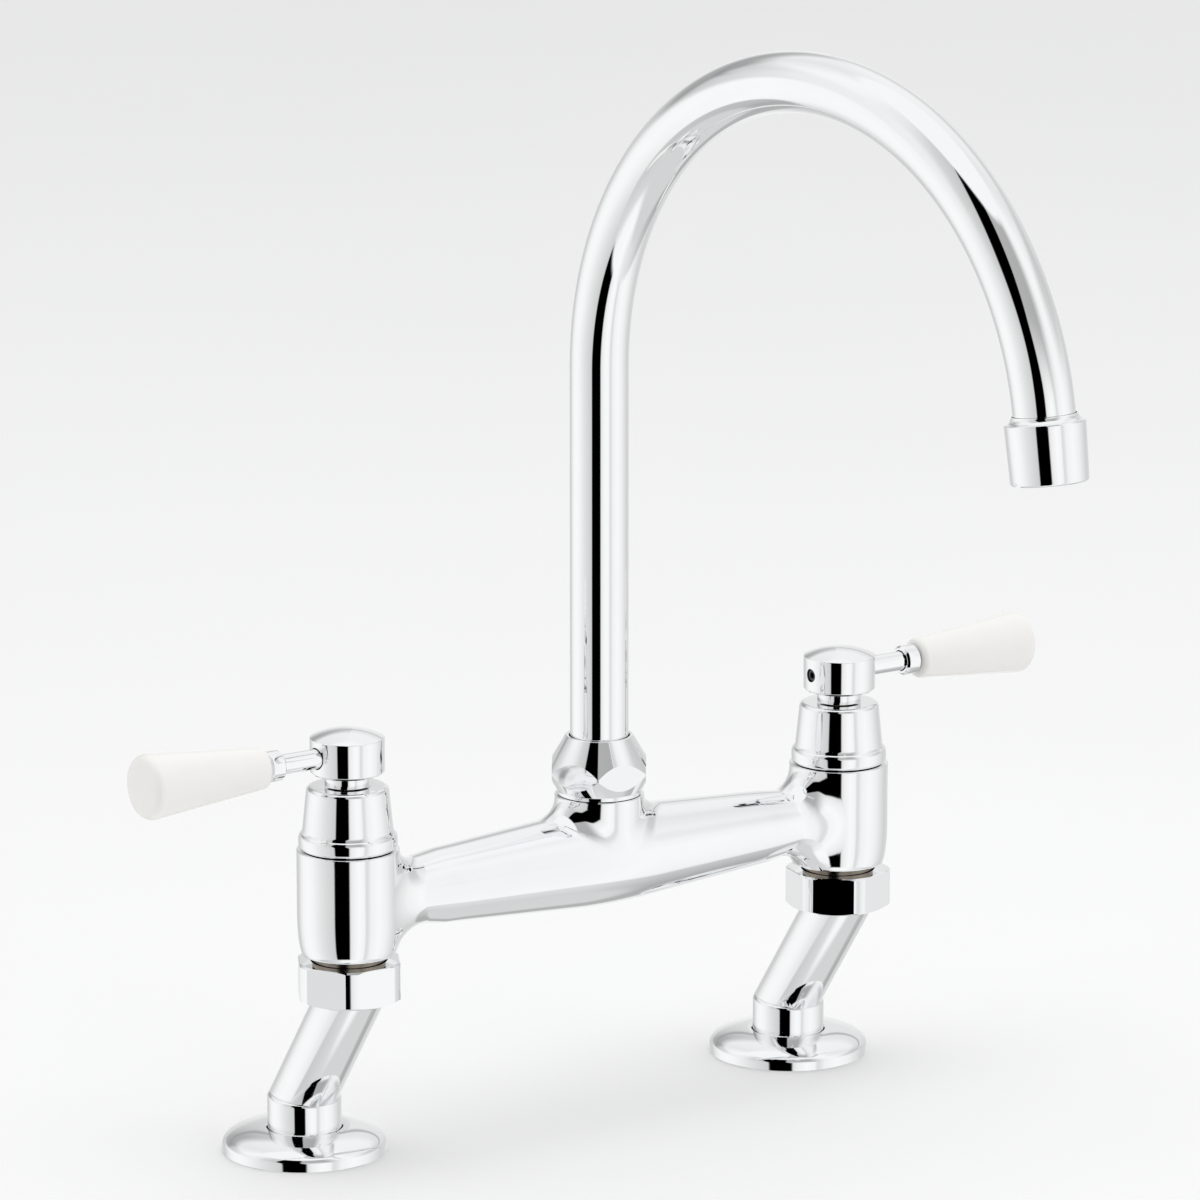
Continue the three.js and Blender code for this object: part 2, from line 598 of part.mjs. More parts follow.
// The brass cartridge: a body in the pillar's chamber, a hexagon on its top and a shank above.
function valveBody() {
  const inside = DISC_RADIUS + RUNNING_GAP;
  const shankHole = SPINDLE_RADIUS + RUNNING_GAP;
  const roof = SPINDLE_BASE_TOP + RUNNING_GAP;
  const blank = turned([
    [0, WASHER_BOTTOM],
    [VALVE_BODY_RADIUS, WASHER_BOTTOM],
    [VALVE_BODY_RADIUS, VALVE_HEX_BOTTOM + SINK],
    [VALVE_SHANK_RADIUS, VALVE_HEX_BOTTOM + SINK],
    [VALVE_SHANK_RADIUS, VALVE_SHANK_TOP],
    [0, VALVE_SHANK_TOP],
  ]);
  const bore = turned([
    [0, WASHER_BOTTOM - CUT_PAST],
    [inside, WASHER_BOTTOM - CUT_PAST],
    [inside, roof],
    [shankHole, roof],
    [shankHole, VALVE_SHANK_TOP + CUT_PAST],
    [0, VALVE_SHANK_TOP + CUT_PAST],
  ]);
  const window = box(4 * VALVE_BODY_RADIUS, VALVE_WINDOW_WIDTH, VALVE_WINDOW_HEIGHT, 0, 0, ARM_LEVEL);
  return carve(blank, {
    add: [hexagon(VALVE_HEX_FLATS, VALVE_HEX_BOTTOM, VALVE_HEX_BOTTOM + VALVE_HEX_HEIGHT)],
    cut: [bore, window],
  });
}

const SPINDLE_GROOVE_RADIUS = SPINDLE_RADIUS - SPINDLE_GROOVE_DEPTH;
const SPINDLE_HEAD_BOTTOM = HUB_BOTTOM - SPINDLE_HEAD_DROP;

function spindle() {
  const grooveHalf = SPINDLE_RING_THICKNESS / 2 + FIT_GAP;
  const shaft = turned([
    [0, SPINDLE_BOTTOM],
    [DISC_RADIUS, SPINDLE_BOTTOM],
    [DISC_RADIUS, SPINDLE_BASE_TOP],
    [SPINDLE_RADIUS, SPINDLE_BASE_TOP],
    [SPINDLE_RADIUS, SPINDLE_RING_LEVEL - grooveHalf],
    [SPINDLE_GROOVE_RADIUS, SPINDLE_RING_LEVEL - grooveHalf],
    [SPINDLE_GROOVE_RADIUS, SPINDLE_RING_LEVEL + grooveHalf],
    [SPINDLE_RADIUS, SPINDLE_RING_LEVEL + grooveHalf],
    [SPINDLE_RADIUS, SPINDLE_HEAD_BOTTOM],
    [0, SPINDLE_HEAD_BOTTOM],
  ], COARSE);
  return carve(shaft, { add: [hexagon(SPINDLE_HEAD_FLATS, SPINDLE_HEAD_BOTTOM - SINK, SPINDLE_TOP)] });
}

// A rubber ring of round section, between its groove's floor and its bore.
function roundRing(grooveRadius, boreRadius, level, facets) {
  const half = (boreRadius - grooveRadius) / 2 - RING_GAP;
  return turned(arc([grooveRadius + RING_GAP + half, level], [half, half], 0, 360, 2 * ROUND_STEPS), facets);
}

function spindleRing() {
  return roundRing(SPINDLE_GROOVE_RADIUS, SPINDLE_RADIUS + RUNNING_GAP, SPINDLE_RING_LEVEL, COARSE);
}

// A cover over the valve's top: a round bead on the pillar, a cone and a rounded shoulder.
function bonnet() {
  const bottom = PILLAR_TOP + FIT_GAP;
  const beadInside = BONNET_BEAD_RADIUS - BONNET_BEAD_ROUND;
  const faceBottom = bottom + BONNET_BEAD_ROUND;
  const faceTop = faceBottom + BONNET_BEAD_FACE;
  const lower = arc([beadInside, faceBottom], [BONNET_BEAD_ROUND, BONNET_BEAD_ROUND], -90, 0, ROUND_STEPS);
  const upper = arc([beadInside, faceTop], [BONNET_BEAD_ROUND, BONNET_BEAD_CROWN], 0, 66, ROUND_STEPS);
  const roundCentre = [BONNET_CONE_TOP_RADIUS - BONNET_TOP_ROUND, BONNET_TOP - BONNET_TOP_ROUND];
  const shoulder = arc(roundCentre, [BONNET_TOP_ROUND, BONNET_TOP_ROUND], 0, 90, ROUND_STEPS);
  const roof = BONNET_TOP - BONNET_WALL;
  return turned([
    [BONNET_CONE_BOTTOM_RADIUS - BONNET_WALL, bottom],
    ...lower,
    ...upper,
    [BONNET_CONE_BOTTOM_RADIUS, bottom + BONNET_BEAD_HEIGHT],
    ...shoulder,
    [BONNET_HOLE_RADIUS, BONNET_TOP],
    [BONNET_HOLE_RADIUS, roof],
    [BONNET_CONE_TOP_RADIUS - BONNET_WALL, roof],
    [BONNET_CONE_BOTTOM_RADIUS - BONNET_WALL, bottom + BONNET_BEAD_HEIGHT],
    [BONNET_CONE_BOTTOM_RADIUS - BONNET_WALL, bottom],
  ], FINE);
}

// ---------------------------------------------------------------- levers

// The hub is made with its axis on Z and its stem's hole towards +X.
function leverHub() {
  const domeRadius = (HUB_RADIUS ** 2 + HUB_DOME ** 2) / (2 * HUB_DOME);
  const domeAngle = THREE.MathUtils.radToDeg(Math.asin(HUB_RADIUS / domeRadius));
  const domeCentre = [0, HUB_EDGE + HUB_DOME - domeRadius];
  const dome = arc(domeCentre, [domeRadius, domeRadius], 90 - domeAngle, 90, ROUND_STEPS);
  const neckBottom = BONNET_TOP + RUNNING_GAP;
  const blank = turned([
    [0, neckBottom],
    [HUB_NECK_RADIUS, neckBottom],
    [HUB_NECK_RADIUS, HUB_BOTTOM],
    [HUB_RADIUS - HUB_CHAMFER, HUB_BOTTOM],
    [HUB_RADIUS, HUB_BOTTOM + HUB_CHAMFER],
    ...dome.slice(0, -1),
    [0, HUB_EDGE + HUB_DOME],
  ], FINE);
  const spindleHole = rod(SPINDLE_RADIUS + FIT_GAP, neckBottom - CUT_PAST, SPINDLE_TOP + FIT_GAP, COARSE);
  const stemHole = alongLever(rod(STEM_RADIUS + FIT_GAP, STEM_ROOT - FIT_GAP, HUB_RADIUS + CUT_PAST, COARSE));
  const screwHole = alongLever(rod(SET_SCREW_RADIUS + FIT_GAP, -HUB_RADIUS - CUT_PAST, 0, COARSE));
  return carve(blank, { cut: [spindleHole, stemHole, screwHole] });
}

function setScrew() {
  const outer = -(HUB_RADIUS - SET_SCREW_INSET);
  const inner = outer + SET_SCREW_LENGTH;
  const socket = hexagon(SET_SCREW_SOCKET_FLATS, outer - CUT_PAST, outer + SET_SCREW_SOCKET_DEPTH);
  return alongLever(carve(rod(SET_SCREW_RADIUS, outer, inner, COARSE), { cut: [socket] }));
}

function leverStem() {
  return alongLever(rod(STEM_RADIUS, STEM_ROOT, STEM_END, COARSE));
}

function leverFerrule() {
  const end = FERRULE_START + FERRULE_LENGTH;
  return alongLever(turned([
    [STEM_RADIUS + FIT_GAP, FERRULE_START],
    [FERRULE_RADIUS - FERRULE_BEVEL, FERRULE_START],
    [FERRULE_RADIUS, FERRULE_START + FERRULE_BEVEL],
    [FERRULE_RADIUS, end - FERRULE_BEVEL],
    [FERRULE_RADIUS - FERRULE_BEVEL, end],
    [STEM_RADIUS + FIT_GAP, end],
    [STEM_RADIUS + FIT_GAP, FERRULE_START],
  ]));
}

function leverHandle() {
  const start = FERRULE_START + FERRULE_LENGTH + FIT_GAP;
  const end = start + HANDLE_LENGTH;
  const thin = [HANDLE_THIN_ROUND, HANDLE_THIN_ROUND];
  const thick = [HANDLE_THICK_ROUND, HANDLE_THICK_ROUND];
  const thinCentre = [HANDLE_THIN_RADIUS - HANDLE_THIN_ROUND, start + HANDLE_THIN_ROUND];
  const thickCentre = [HANDLE_THICK_RADIUS - HANDLE_THICK_ROUND, end - HANDLE_THICK_ROUND];
  const hole = STEM_RADIUS + FIT_GAP;
  return alongLever(turned([
    [hole, start],
    ...arc(thinCentre, thin, -90, 0, ROUND_STEPS),
    ...arc(thickCentre, thick, 0, 90, ROUND_STEPS),
    [0, end],
    [0, STEM_END + FIT_GAP],
    [hole, STEM_END + FIT_GAP],
    [hole, start],
  ]));
}

// ---------------------------------------------------------------- spout

const NECK_TOP = BOSS_TOP + BOSS_NECK_HEIGHT;
const BUSH_BOTTOM = NECK_TOP + FIT_GAP;
const NUT_CEILING = SPOUT_NUT_TOP - SPOUT_NUT_ROOF;

// A hexagon nut between two cones, on a short round skirt.
function spoutNut() {
  const bottom = BOSS_TOP + FIT_GAP;
  const outline = [
    [0, bottom],
    [SPOUT_NUT_SKIRT_RADIUS, bottom],
    [SPOUT_NUT_SKIRT_RADIUS, bottom + SPOUT_NUT_SKIRT_HEIGHT],
    [SPOUT_NUT_WAIST_RADIUS, SPOUT_NUT_WAIST_LEVEL],
    [SPOUT_NUT_WAIST_RADIUS, SPOUT_NUT_WAIST_LEVEL + SPOUT_NUT_WAIST_HEIGHT],
    [SPOUT_NUT_TOP_RADIUS, SPOUT_NUT_TOP],
    [0, SPOUT_NUT_TOP],
  ];
  const blank = nutBlank(SPOUT_NUT_FLATS, bottom, SPOUT_NUT_TOP, outline);
  const thread = rod(BOSS_NECK_RADIUS + FIT_GAP, bottom - CUT_PAST, NUT_CEILING);
  const spoutHole = rod(SPOUT_RADIUS + RUNNING_GAP, bottom, SPOUT_NUT_TOP + CUT_PAST);
  return carve(blank, { cut: [thread, spoutHole] }).rotateZ(radians(SPOUT_NUT_TURN));
}

const SPIGOT_GROOVE_RADIUS = SPOUT_RADIUS - SPIGOT_GROOVE_DEPTH;
const LOWER_RING_LEVEL = SPIGOT_BOTTOM + SPIGOT_RING_INSET;
const SPIGOT_RING_LEVELS = [LOWER_RING_LEVEL, LOWER_RING_LEVEL + SPIGOT_RING_SPACING];
const SHOULDER_BOTTOM = BUSH_BOTTOM + BUSH_HEIGHT + FIT_GAP;
const SHOULDER_TOP = SHOULDER_BOTTOM + SPIGOT_SHOULDER;
const SPOUT_BOTTOM = SHOULDER_TOP + FIT_GAP;

// The brass end of the spout that turns in the boss, with two seal grooves and the bush's groove.
function spoutSpigot() {
  const grooveHalf = SPIGOT_RING_THICKNESS / 2 + FIT_GAP;
  const grooves = SPIGOT_RING_LEVELS.flatMap((level) => [
    [SPOUT_RADIUS, level - grooveHalf],
    [SPIGOT_GROOVE_RADIUS, level - grooveHalf],
    [SPIGOT_GROOVE_RADIUS, level + grooveHalf],
    [SPOUT_RADIUS, level + grooveHalf],
  ]);
  const socketRadius = SPOUT_RADIUS - SPOUT_WALL - FIT_GAP;
  return turned([
    [SPIGOT_BORE_RADIUS, SPIGOT_BOTTOM],
    [SPOUT_RADIUS, SPIGOT_BOTTOM],
    ...grooves,
    [SPOUT_RADIUS, NECK_TOP],
    [SPIGOT_GROOVE_RADIUS, NECK_TOP],
    [SPIGOT_GROOVE_RADIUS, SHOULDER_BOTTOM],
    [SPOUT_RADIUS, SHOULDER_BOTTOM],
    [SPOUT_RADIUS, SHOULDER_TOP],
    [socketRadius, SHOULDER_TOP],
    [socketRadius, SHOULDER_TOP + SPIGOT_SOCKET_LENGTH],
    [SPIGOT_BORE_RADIUS, SHOULDER_TOP + SPIGOT_SOCKET_LENGTH],
    [SPIGOT_BORE_RADIUS, SPIGOT_BOTTOM],
  ]);
}

function spigotRing(level) {
  return roundRing(SPIGOT_GROOVE_RADIUS, SPOUT_RADIUS + RUNNING_GAP, level, MEDIUM);
}

// The split bush sits in the spigot's groove and carries the spout on the top of the neck.
function splitBush() {
  const inner = SPIGOT_GROOVE_RADIUS + FIT_GAP;
  const whole = ring(inner, BOSS_NECK_RADIUS, BUSH_BOTTOM, BUSH_BOTTOM + BUSH_HEIGHT);
  const split = box(4 * BOSS_NECK_RADIUS, BUSH_SPLIT, 4 * BUSH_HEIGHT, -2 * BOSS_NECK_RADIUS, 0, BUSH_BOTTOM);
  return carve(whole, { cut: [split] });
}

// The spout's centre line: a straight riser, then one round bend forward and down.
class SpoutLine extends THREE.Curve {
  constructor() {
    super();
    this.riser = SPOUT_RISE - SPOUT_BOTTOM;
    this.bend = SPOUT_BEND_RADIUS * radians(SPOUT_BEND_SWEEP);
  }

  getPoint(share, target = new THREE.Vector3()) {
    const along = share * (this.riser + this.bend);
    if (along <= this.riser) return target.set(0, 0, SPOUT_BOTTOM + along);
    const angle = (along - this.riser) / SPOUT_BEND_RADIUS;
    const forward = SPOUT_BEND_RADIUS * (1 - Math.cos(angle));
    return target.set(0, -forward, SPOUT_RISE + SPOUT_BEND_RADIUS * Math.sin(angle));
  }
}

function spoutTube() {
  const section = new THREE.Shape().absarc(0, 0, SPOUT_RADIUS, 0, 2 * Math.PI, false);
  section.holes.push(new THREE.Path().absarc(0, 0, SPOUT_RADIUS - SPOUT_WALL, 0, 2 * Math.PI, true));
  const options = { steps: SPOUT_STEPS, extrudePath: new SpoutLine(), curveSegments: MEDIUM / 2 };
  return new THREE.ExtrudeGeometry(section, options);
}

// ---------------------------------------------------------------- outlet

// These are made on the Z axis, with the spout's end at zero and the water running towards +Z.
// A threaded brass sleeve is soldered to the tube's end, and the aerator's housing screws onto it.
function outletSleeve() {
  return turned([
    [OUTLET_BORE_RADIUS, FIT_GAP],
    [SPOUT_RADIUS, FIT_GAP],
    [SPOUT_RADIUS, OUTLET_SHOULDER_LEVEL],
    [OUTLET_THREAD_RADIUS, OUTLET_SHOULDER_LEVEL],
    [OUTLET_THREAD_RADIUS, OUTLET_LENGTH],
    [OUTLET_BORE_RADIUS, OUTLET_LENGTH],
    [OUTLET_BORE_RADIUS, FIT_GAP],
  ]);
}

function aeratorHousing() {
  const neck = SPOUT_RADIUS + FIT_GAP;
  const thread = OUTLET_THREAD_RADIUS + FIT_GAP;
  const threadTop = OUTLET_SHOULDER_LEVEL - FIT_GAP;
  const coveCentre = [AERATOR_COVE_END_RADIUS, AERATOR_START];
  const coveRadii = [AERATOR_COVE_END_RADIUS - AERATOR_COVE_START_RADIUS, AERATOR_COVE_LEVEL - AERATOR_START];
  const cove = arc(coveCentre, coveRadii, 180, 90, FILLET_STEPS);
  const topBevel = AERATOR_TOP_RADIUS - AERATOR_COVE_END_RADIUS;
  const edgeCentre = [AERATOR_END_RADIUS - AERATOR_EDGE_ROUND, AERATOR_END - AERATOR_EDGE_ROUND];
  const edge = arc(edgeCentre, [AERATOR_EDGE_ROUND, AERATOR_EDGE_ROUND], 0, 90, ROUND_STEPS);
  const shell = turned([
    [neck, threadTop],
    [neck, AERATOR_START],
    ...cove,
    [AERATOR_TOP_RADIUS, AERATOR_COVE_LEVEL + topBevel],
    ...edge,
    [AERATOR_LIP_RADIUS, AERATOR_END],
    [AERATOR_LIP_RADIUS, AERATOR_END - AERATOR_LIP],
    [thread, AERATOR_END - AERATOR_LIP],
    [thread, threadTop],
    [neck, threadTop],
  ], FINE);
  const slot = box(4 * AERATOR_TOP_RADIUS, AERATOR_SLOT_WIDTH, 2 * AERATOR_SLOT_DEPTH, 0, 0, AERATOR_END)
    .rotateZ(radians(AERATOR_SLOT_TURN));
  return carve(shell, { cut: [slot] });
}

function aeratorSeal() {
  const bottom = OUTLET_LENGTH + FIT_GAP;
  return ring(OUTLET_BORE_RADIUS, OUTLET_THREAD_RADIUS, bottom, bottom + AERATOR_SEAL_THICKNESS);
}

// A plastic cup with a ring of jets in its floor, whose nose fills the housing's mouth.
function aeratorInsert() {
  const rimLevel = OUTLET_LENGTH + AERATOR_SEAL_THICKNESS + 2 * FIT_GAP;
  const floor = AERATOR_END - AERATOR_LIP - FIT_GAP;
  const nose = AERATOR_END - AERATOR_SLOT_DEPTH;
  const noseRadius = AERATOR_LIP_RADIUS - FIT_GAP;
  const cupRadius = INSERT_HOLE_RING + INSERT_HOLE_RADIUS + INSERT_CUP_MARGIN;
  const cup = turned([
    [0, floor - INSERT_WEB],
    [cupRadius, floor - INSERT_WEB],
    [cupRadius, rimLevel],
    [OUTLET_THREAD_RADIUS, rimLevel],
    [OUTLET_THREAD_RADIUS, floor],
    [noseRadius, floor],
    [noseRadius, nose],
    [0, nose],
  ]);
  const hole = (x, y) => rod(INSERT_HOLE_RADIUS, rimLevel, AERATOR_END, COARSE).translate(x, y, 0);
  const holes = Array.from({ length: INSERT_HOLE_COUNT }, (_, index) => {
    const angle = (index * 2 * Math.PI) / INSERT_HOLE_COUNT;
    return hole(INSERT_HOLE_RING * Math.cos(angle), INSERT_HOLE_RING * Math.sin(angle));
  });
  return carve(cup, { cut: [...holes, hole(0, 0)] });
}

// ---------------------------------------------------------------- assembly

function side(prefix, direction, nutTurn) {
  const group = new THREE.Group();
  const name = (piece) => `${prefix}_${piece}`;
  group.add(
    named(name('flange'), flange().translate(0, CRANK, 0), chrome()),
    named(name('deck_seal'), deckSeal().translate(0, CRANK, 0), rubber()),
    named(name('leg'), leg(), chrome()),
    named(name('union_nut'), unionNut().rotateZ(radians(nutTurn)), chrome()),
    named(name('union_washer'), unionWasher(), fibre()),
    named(name('union_nipple'), unionNipple(), brass()),
    named(name('seat_washer'), seatWasher(), rubber()),
    named(name('fixed_disc'), portedDisc(FIXED_DISC_BOTTOM, 0), discCeramic()),
    named(name('moving_disc'), portedDisc(MOVING_DISC_BOTTOM, 90), discCeramic()),
    named(name('valve_body'), valveBody(), brass()),
    named(name('spindle'), spindle(), brass()),
    named(name('spindle_ring'), spindleRing(), rubber()),
    named(name('bonnet'), bonnet(), chrome()),
  );
  const lever = new THREE.Group();
  lever.rotation.z = direction > 0 ? 0 : Math.PI;
  lever.add(
    named(name('lever_hub'), leverHub(), chrome()),
    named(name('set_screw'), setScrew(), steel()),
    named(name('lever_stem'), leverStem(), chrome()),
    named(name('lever_ferrule'), leverFerrule(), chrome()),
    named(name('lever_handle'), leverHandle(), ceramic()),
  );
  group.add(lever);
  group.position.set((direction * HOLE_SPACING) / 2, -CRANK, 0);
  return group;
}

function spout() {
  const outlet = new THREE.Group();
  outlet.add(
    named('outlet_sleeve', outletSleeve(), brass()),
    named('aerator_seal', aeratorSeal(), rubber()),
    named('aerator_insert', aeratorInsert(), plastic()),
    named('aerator_housing', aeratorHousing(), chrome()),
  );
  const rings = SPIGOT_RING_LEVELS.map((level, index) => {
    return named(`spout_ring_${index + 1}`, spigotRing(level), rubber());
  });
  const end = new SpoutLine().getPoint(1);
  outlet.position.copy(end);
  outlet.rotation.x = radians(SPOUT_BEND_SWEEP);
  const group = new THREE.Group();
  group.add(
    named('spout_spigot', spoutSpigot(), brass()),
    ...rings,
    named('spout_bush', splitBush(), plastic()),
    named('spout_tube', spoutTube(), chrome()),
    outlet,
  );
  group.rotation.z = radians(SPOUT_SWING);
  return group;
}

const bridge = new THREE.Group();
bridge.add(
  named('bridge_body', bridgeBody(), chrome()),
  named('spout_nut', spoutNut(), chrome()),
  spout(),
);
bridge.position.y = -CRANK;

const tap = new THREE.Group();
tap.add(bridge, side('left', -1, LEFT_UNION_NUT_TURN), side('right', 1, RIGHT_UNION_NUT_TURN));

export default tap;
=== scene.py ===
# %% [markdown]
# # A bridge kitchen tap, in chrome and porcelain
#
# The CAD parts of this tap are faceted, which is enough for collision and mass. Polished chrome
# is a mirror, and a mirror shows every facet. Here each visible part is shaped again with many
# more steps, from the same dimensions and in the same place, and then finished with procedural
# materials. The parts that are hidden inside keep their CAD meshes and only get a material.
#
# Lengths are in millimetres until a mesh is made. The frame is the CAD's: the origin is on the
# deck midway between the tap holes, +X runs along the bridge to the cold side, -Y is the user's
# side and +Z is up.

import json
import math

import bmesh
import bpy
from mathutils import Matrix, Vector


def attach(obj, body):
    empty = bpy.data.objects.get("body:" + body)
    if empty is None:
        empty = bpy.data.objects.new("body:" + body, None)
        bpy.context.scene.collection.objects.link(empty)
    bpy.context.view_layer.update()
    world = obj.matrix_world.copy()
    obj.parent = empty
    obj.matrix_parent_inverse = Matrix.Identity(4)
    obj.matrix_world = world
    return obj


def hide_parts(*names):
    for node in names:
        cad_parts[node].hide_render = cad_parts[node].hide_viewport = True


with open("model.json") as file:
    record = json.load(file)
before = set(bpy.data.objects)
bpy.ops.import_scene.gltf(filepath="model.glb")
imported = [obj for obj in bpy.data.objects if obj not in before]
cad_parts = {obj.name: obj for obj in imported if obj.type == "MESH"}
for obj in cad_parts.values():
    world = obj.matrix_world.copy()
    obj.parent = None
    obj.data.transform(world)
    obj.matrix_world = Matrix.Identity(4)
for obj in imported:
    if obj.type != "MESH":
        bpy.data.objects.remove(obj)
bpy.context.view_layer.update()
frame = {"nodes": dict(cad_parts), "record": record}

# %% [markdown]
# ## Profiles
#
# Nearly every part of a tap is turned on a lathe, so most shapes start as a profile: a list of
# (radius, level) points. Two helpers write profiles. `arc` gives points on a circle or an ellipse.
# `eased` rounds off the corners of a profile, because no real edge is sharp, and a small round
# is what catches the light along the edge of a polished part. A Bevel modifier could round the
# finished mesh instead, but on a profile each corner gets exactly the round that it needs.

# %% Profile helpers

def arc(centre, radii, start, end, steps):
    """Points on an ellipse from one angle to another, in degrees."""
    turns = [math.radians(start + (end - start) * step / steps) for step in range(steps + 1)]
    return [(centre[0] + radii[0] * math.cos(t), centre[1] + radii[1] * math.sin(t)) for t in turns]


def eased(points, radius, steps=4, least=20):
    """Rounds each inner corner of a line of points that turns by at least so many degrees."""
    smooth = [points[0]]
    for before, corner, after in zip(points, points[1:], points[2:]):
        back, ahead = Vector(before) - Vector(corner), Vector(after) - Vector(corner)
        turn = math.pi - back.angle(ahead, math.pi)
        if math.degrees(turn) < least:
            smooth.append(corner)
            continue
        cut = min(radius * math.tan(turn / 2), 0.45 * back.length, 0.45 * ahead.length)
        start = Vector(corner) + back.normalized() * cut
        end = Vector(corner) + ahead.normalized() * cut
        for step in range(steps + 1):
            share = step / steps
            inner = start.lerp(Vector(corner), share)
            outer = Vector(corner).lerp(end, share)
            smooth.append(tuple(inner.lerp(outer, share)))
    return smooth + [points[-1]]


soft_corner = eased([(0, 0), (5, 0), (5, 5)], 1)
print("A square corner eased by 1:", [(round(x, 2), round(y, 2)) for x, y in soft_corner])

# %% [markdown]
# ## Turning
#
# `turned` spins a profile into a mesh. Some parts aren't quite round: a hexagon nut, or a fillet
# that follows the curved surface that it runs into. They could be cut with Booleans, but a mirror
# finish shows every sliver that a Boolean leaves. So `turned` takes one profile for each angle,
# all with the same number of points. The spin makes the grid of faces, and each vertex is then
# moved to where its own profile puts it.

# %% Turning
FINE = 144  # steps round the large turned forms
SMALL_TURN = 72


def round_sections(profile, steps=FINE):
    """The same profile at every angle."""
    return [(2 * math.pi * step / steps, profile) for step in range(steps)]


def turned(sections):
    """A mesh from (angle, profile) sections that go once round the Z axis."""
    mesh = bmesh.new()
    point_layer = mesh.verts.layers.int.new("point")
    column = []
    for number in range(len(sections[0][1])):
        vertex = mesh.verts.new((1, 0, number))
        vertex[point_layer] = number
        column.append(vertex)
    edges = [mesh.edges.new(pair) for pair in zip(column, column[1:])]
    bmesh.ops.spin(mesh, geom=column + edges, cent=(0, 0, 0), axis=(0, 0, 1), dvec=(0, 0, 0),
                   angle=2 * math.pi, steps=len(sections), use_merge=True, use_duplicate=False)
    for vertex in mesh.verts:
        share = math.atan2(vertex.co.y, vertex.co.x) / (2 * math.pi)
        angle, profile = sections[round(share * len(sections)) % len(sections)]
        radius, level = profile[vertex[point_layer]]
        vertex.co = (radius * math.cos(angle), radius * math.sin(angle), level)
    bmesh.ops.remove_doubles(mesh, verts=mesh.verts, dist=1e-4)
    bmesh.ops.dissolve_degenerate(mesh, edges=mesh.edges, dist=1e-5)
    return mesh


def swept(section, steps):
    """A mesh whose profile is worked out anew at each angle."""
    return turned([(2 * math.pi * n / steps, section(2 * math.pi * n / steps)) for n in range(steps)])


def lathe(profile, steps=FINE):
    return turned(round_sections(profile, steps))


def moved(mesh, matrix):
    bmesh.ops.transform(mesh, matrix=matrix, verts=mesh.verts)
    return mesh


def joined(*meshes):
    """Puts several meshes into the first."""
    for other in meshes[1:]:
        spare = bpy.data.meshes.new("spare")
        other.to_mesh(spare)
        other.free()
        meshes[0].from_mesh(spare)
        bpy.data.meshes.remove(spare)
    return meshes[0]


# %% [markdown]
# ## From a mesh to a piece
#
# A finished piece is in metres, has its faces outward and is shaded smooth, except along edges
# that turn sharply. It stands for one CAD part and rides on that part's body, so that it moves
# with the lever or the spout.

# %% Pieces
SHARP = math.radians(16)
body_of = {node: body for body, nodes in frame["record"]["behaviour"]["bodies"].items() for node in nodes}
slot_of = {part["node"]: part["material_slot"] for part in frame["record"]["subparts"]}
pieces = {}


def piece(node, mesh):
    """Makes a mesh in millimetres the piece that is shown for a CAD part."""
    bmesh.ops.scale(mesh, vec=(0.001, 0.001, 0.001), verts=mesh.verts)
    bmesh.ops.recalc_face_normals(mesh, faces=mesh.faces)
    for face in mesh.faces:
        face.smooth = True
    for edge in mesh.edges:
        edge.smooth = len(edge.link_faces) == 2 and edge.calc_face_angle(0) < SHARP
    data = bpy.data.meshes.new(node + "_fine")
    mesh.to_mesh(data)
    mesh.free()
    shown = bpy.data.objects.new(node + "_fine", data)
    bpy.context.scene.collection.objects.link(shown)
    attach(shown, body_of[node])
    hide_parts(node)
    pieces[node] = shown
    print(node, "rides on", body_of[node], "with", len(data.polygons), "faces")


# %% [markdown]
# ## Dimensions that several parts share
#
# A tap is screwed together, so one part's end is the next part's seat. A dimension that two parts
# share is written once, here, and a part's own dimensions stand in the cell that makes it.

# %% Shared dimensions
GAP = 0.3  # between parts that touch
SEAM = 0.15  # the hairline that is seen between two parts that are screwed home
SPACING = 200  # between the tap holes
CRANK = 28  # how far the legs step the bridge forward
SIDES = {"left": -1, "right": 1}
NUT_BOTTOM, NUT_TOP = 58.8, 72
PILLAR_RADIUS, PILLAR_BOTTOM, PILLAR_TOP = 16.9, 74.2, 109.5
FOOT_RADIUS, FOOT_ROUND = 15, 14  # a pillar draws in by a long round at its foot
ARM_LEVEL = 91.4
BOSS_TOP, NECK_TOP = 113.3, 122
LEVER_LEVEL = 141.2


def over_hole(side):
    return Matrix.Translation((SIDES[side] * SPACING / 2, 0, 0))


def at_pillar(side):
    return Matrix.Translation((SIDES[side] * SPACING / 2, -CRANK, 0))


# %% [markdown]
# ## Flanges
#
# A flange hides the hole in the deck that its leg comes through. It is thin metal, a shallow dome
# on an upright edge. The dome is a quarter of an ellipse, so it is steep at the rim and nearly
# level where it meets the leg. A flattened sphere would come close, but the profile also gives the
# edge, the hole and the hollow underside.

# %% Flanges
FLANGE_RADIUS, FLANGE_HOLE, FLANGE_HOLLOW = 27.45, 12.65, 24.1
EDGE_HEIGHT, FLANGE_HEIGHT = 2.6, 8


def flange():
    foot = [(FLANGE_HOLLOW, 0), (FLANGE_RADIUS - 0.2, 0), (FLANGE_RADIUS, 0.2)]
    edge = [*foot, (FLANGE_RADIUS, EDGE_HEIGHT)]
    width, rise = FLANGE_RADIUS - FLANGE_HOLE, FLANGE_HEIGHT - EDGE_HEIGHT
    dome = arc((FLANGE_HOLE, EDGE_HEIGHT), (width, rise), 3, 89, 30)
    inside = [(FLANGE_HOLE, 7.7), (FLANGE_HOLE, 6.4), (FLANGE_HOLLOW, 2.2), (FLANGE_HOLLOW, 0)]
    return lathe([*edge, *dome, *inside])


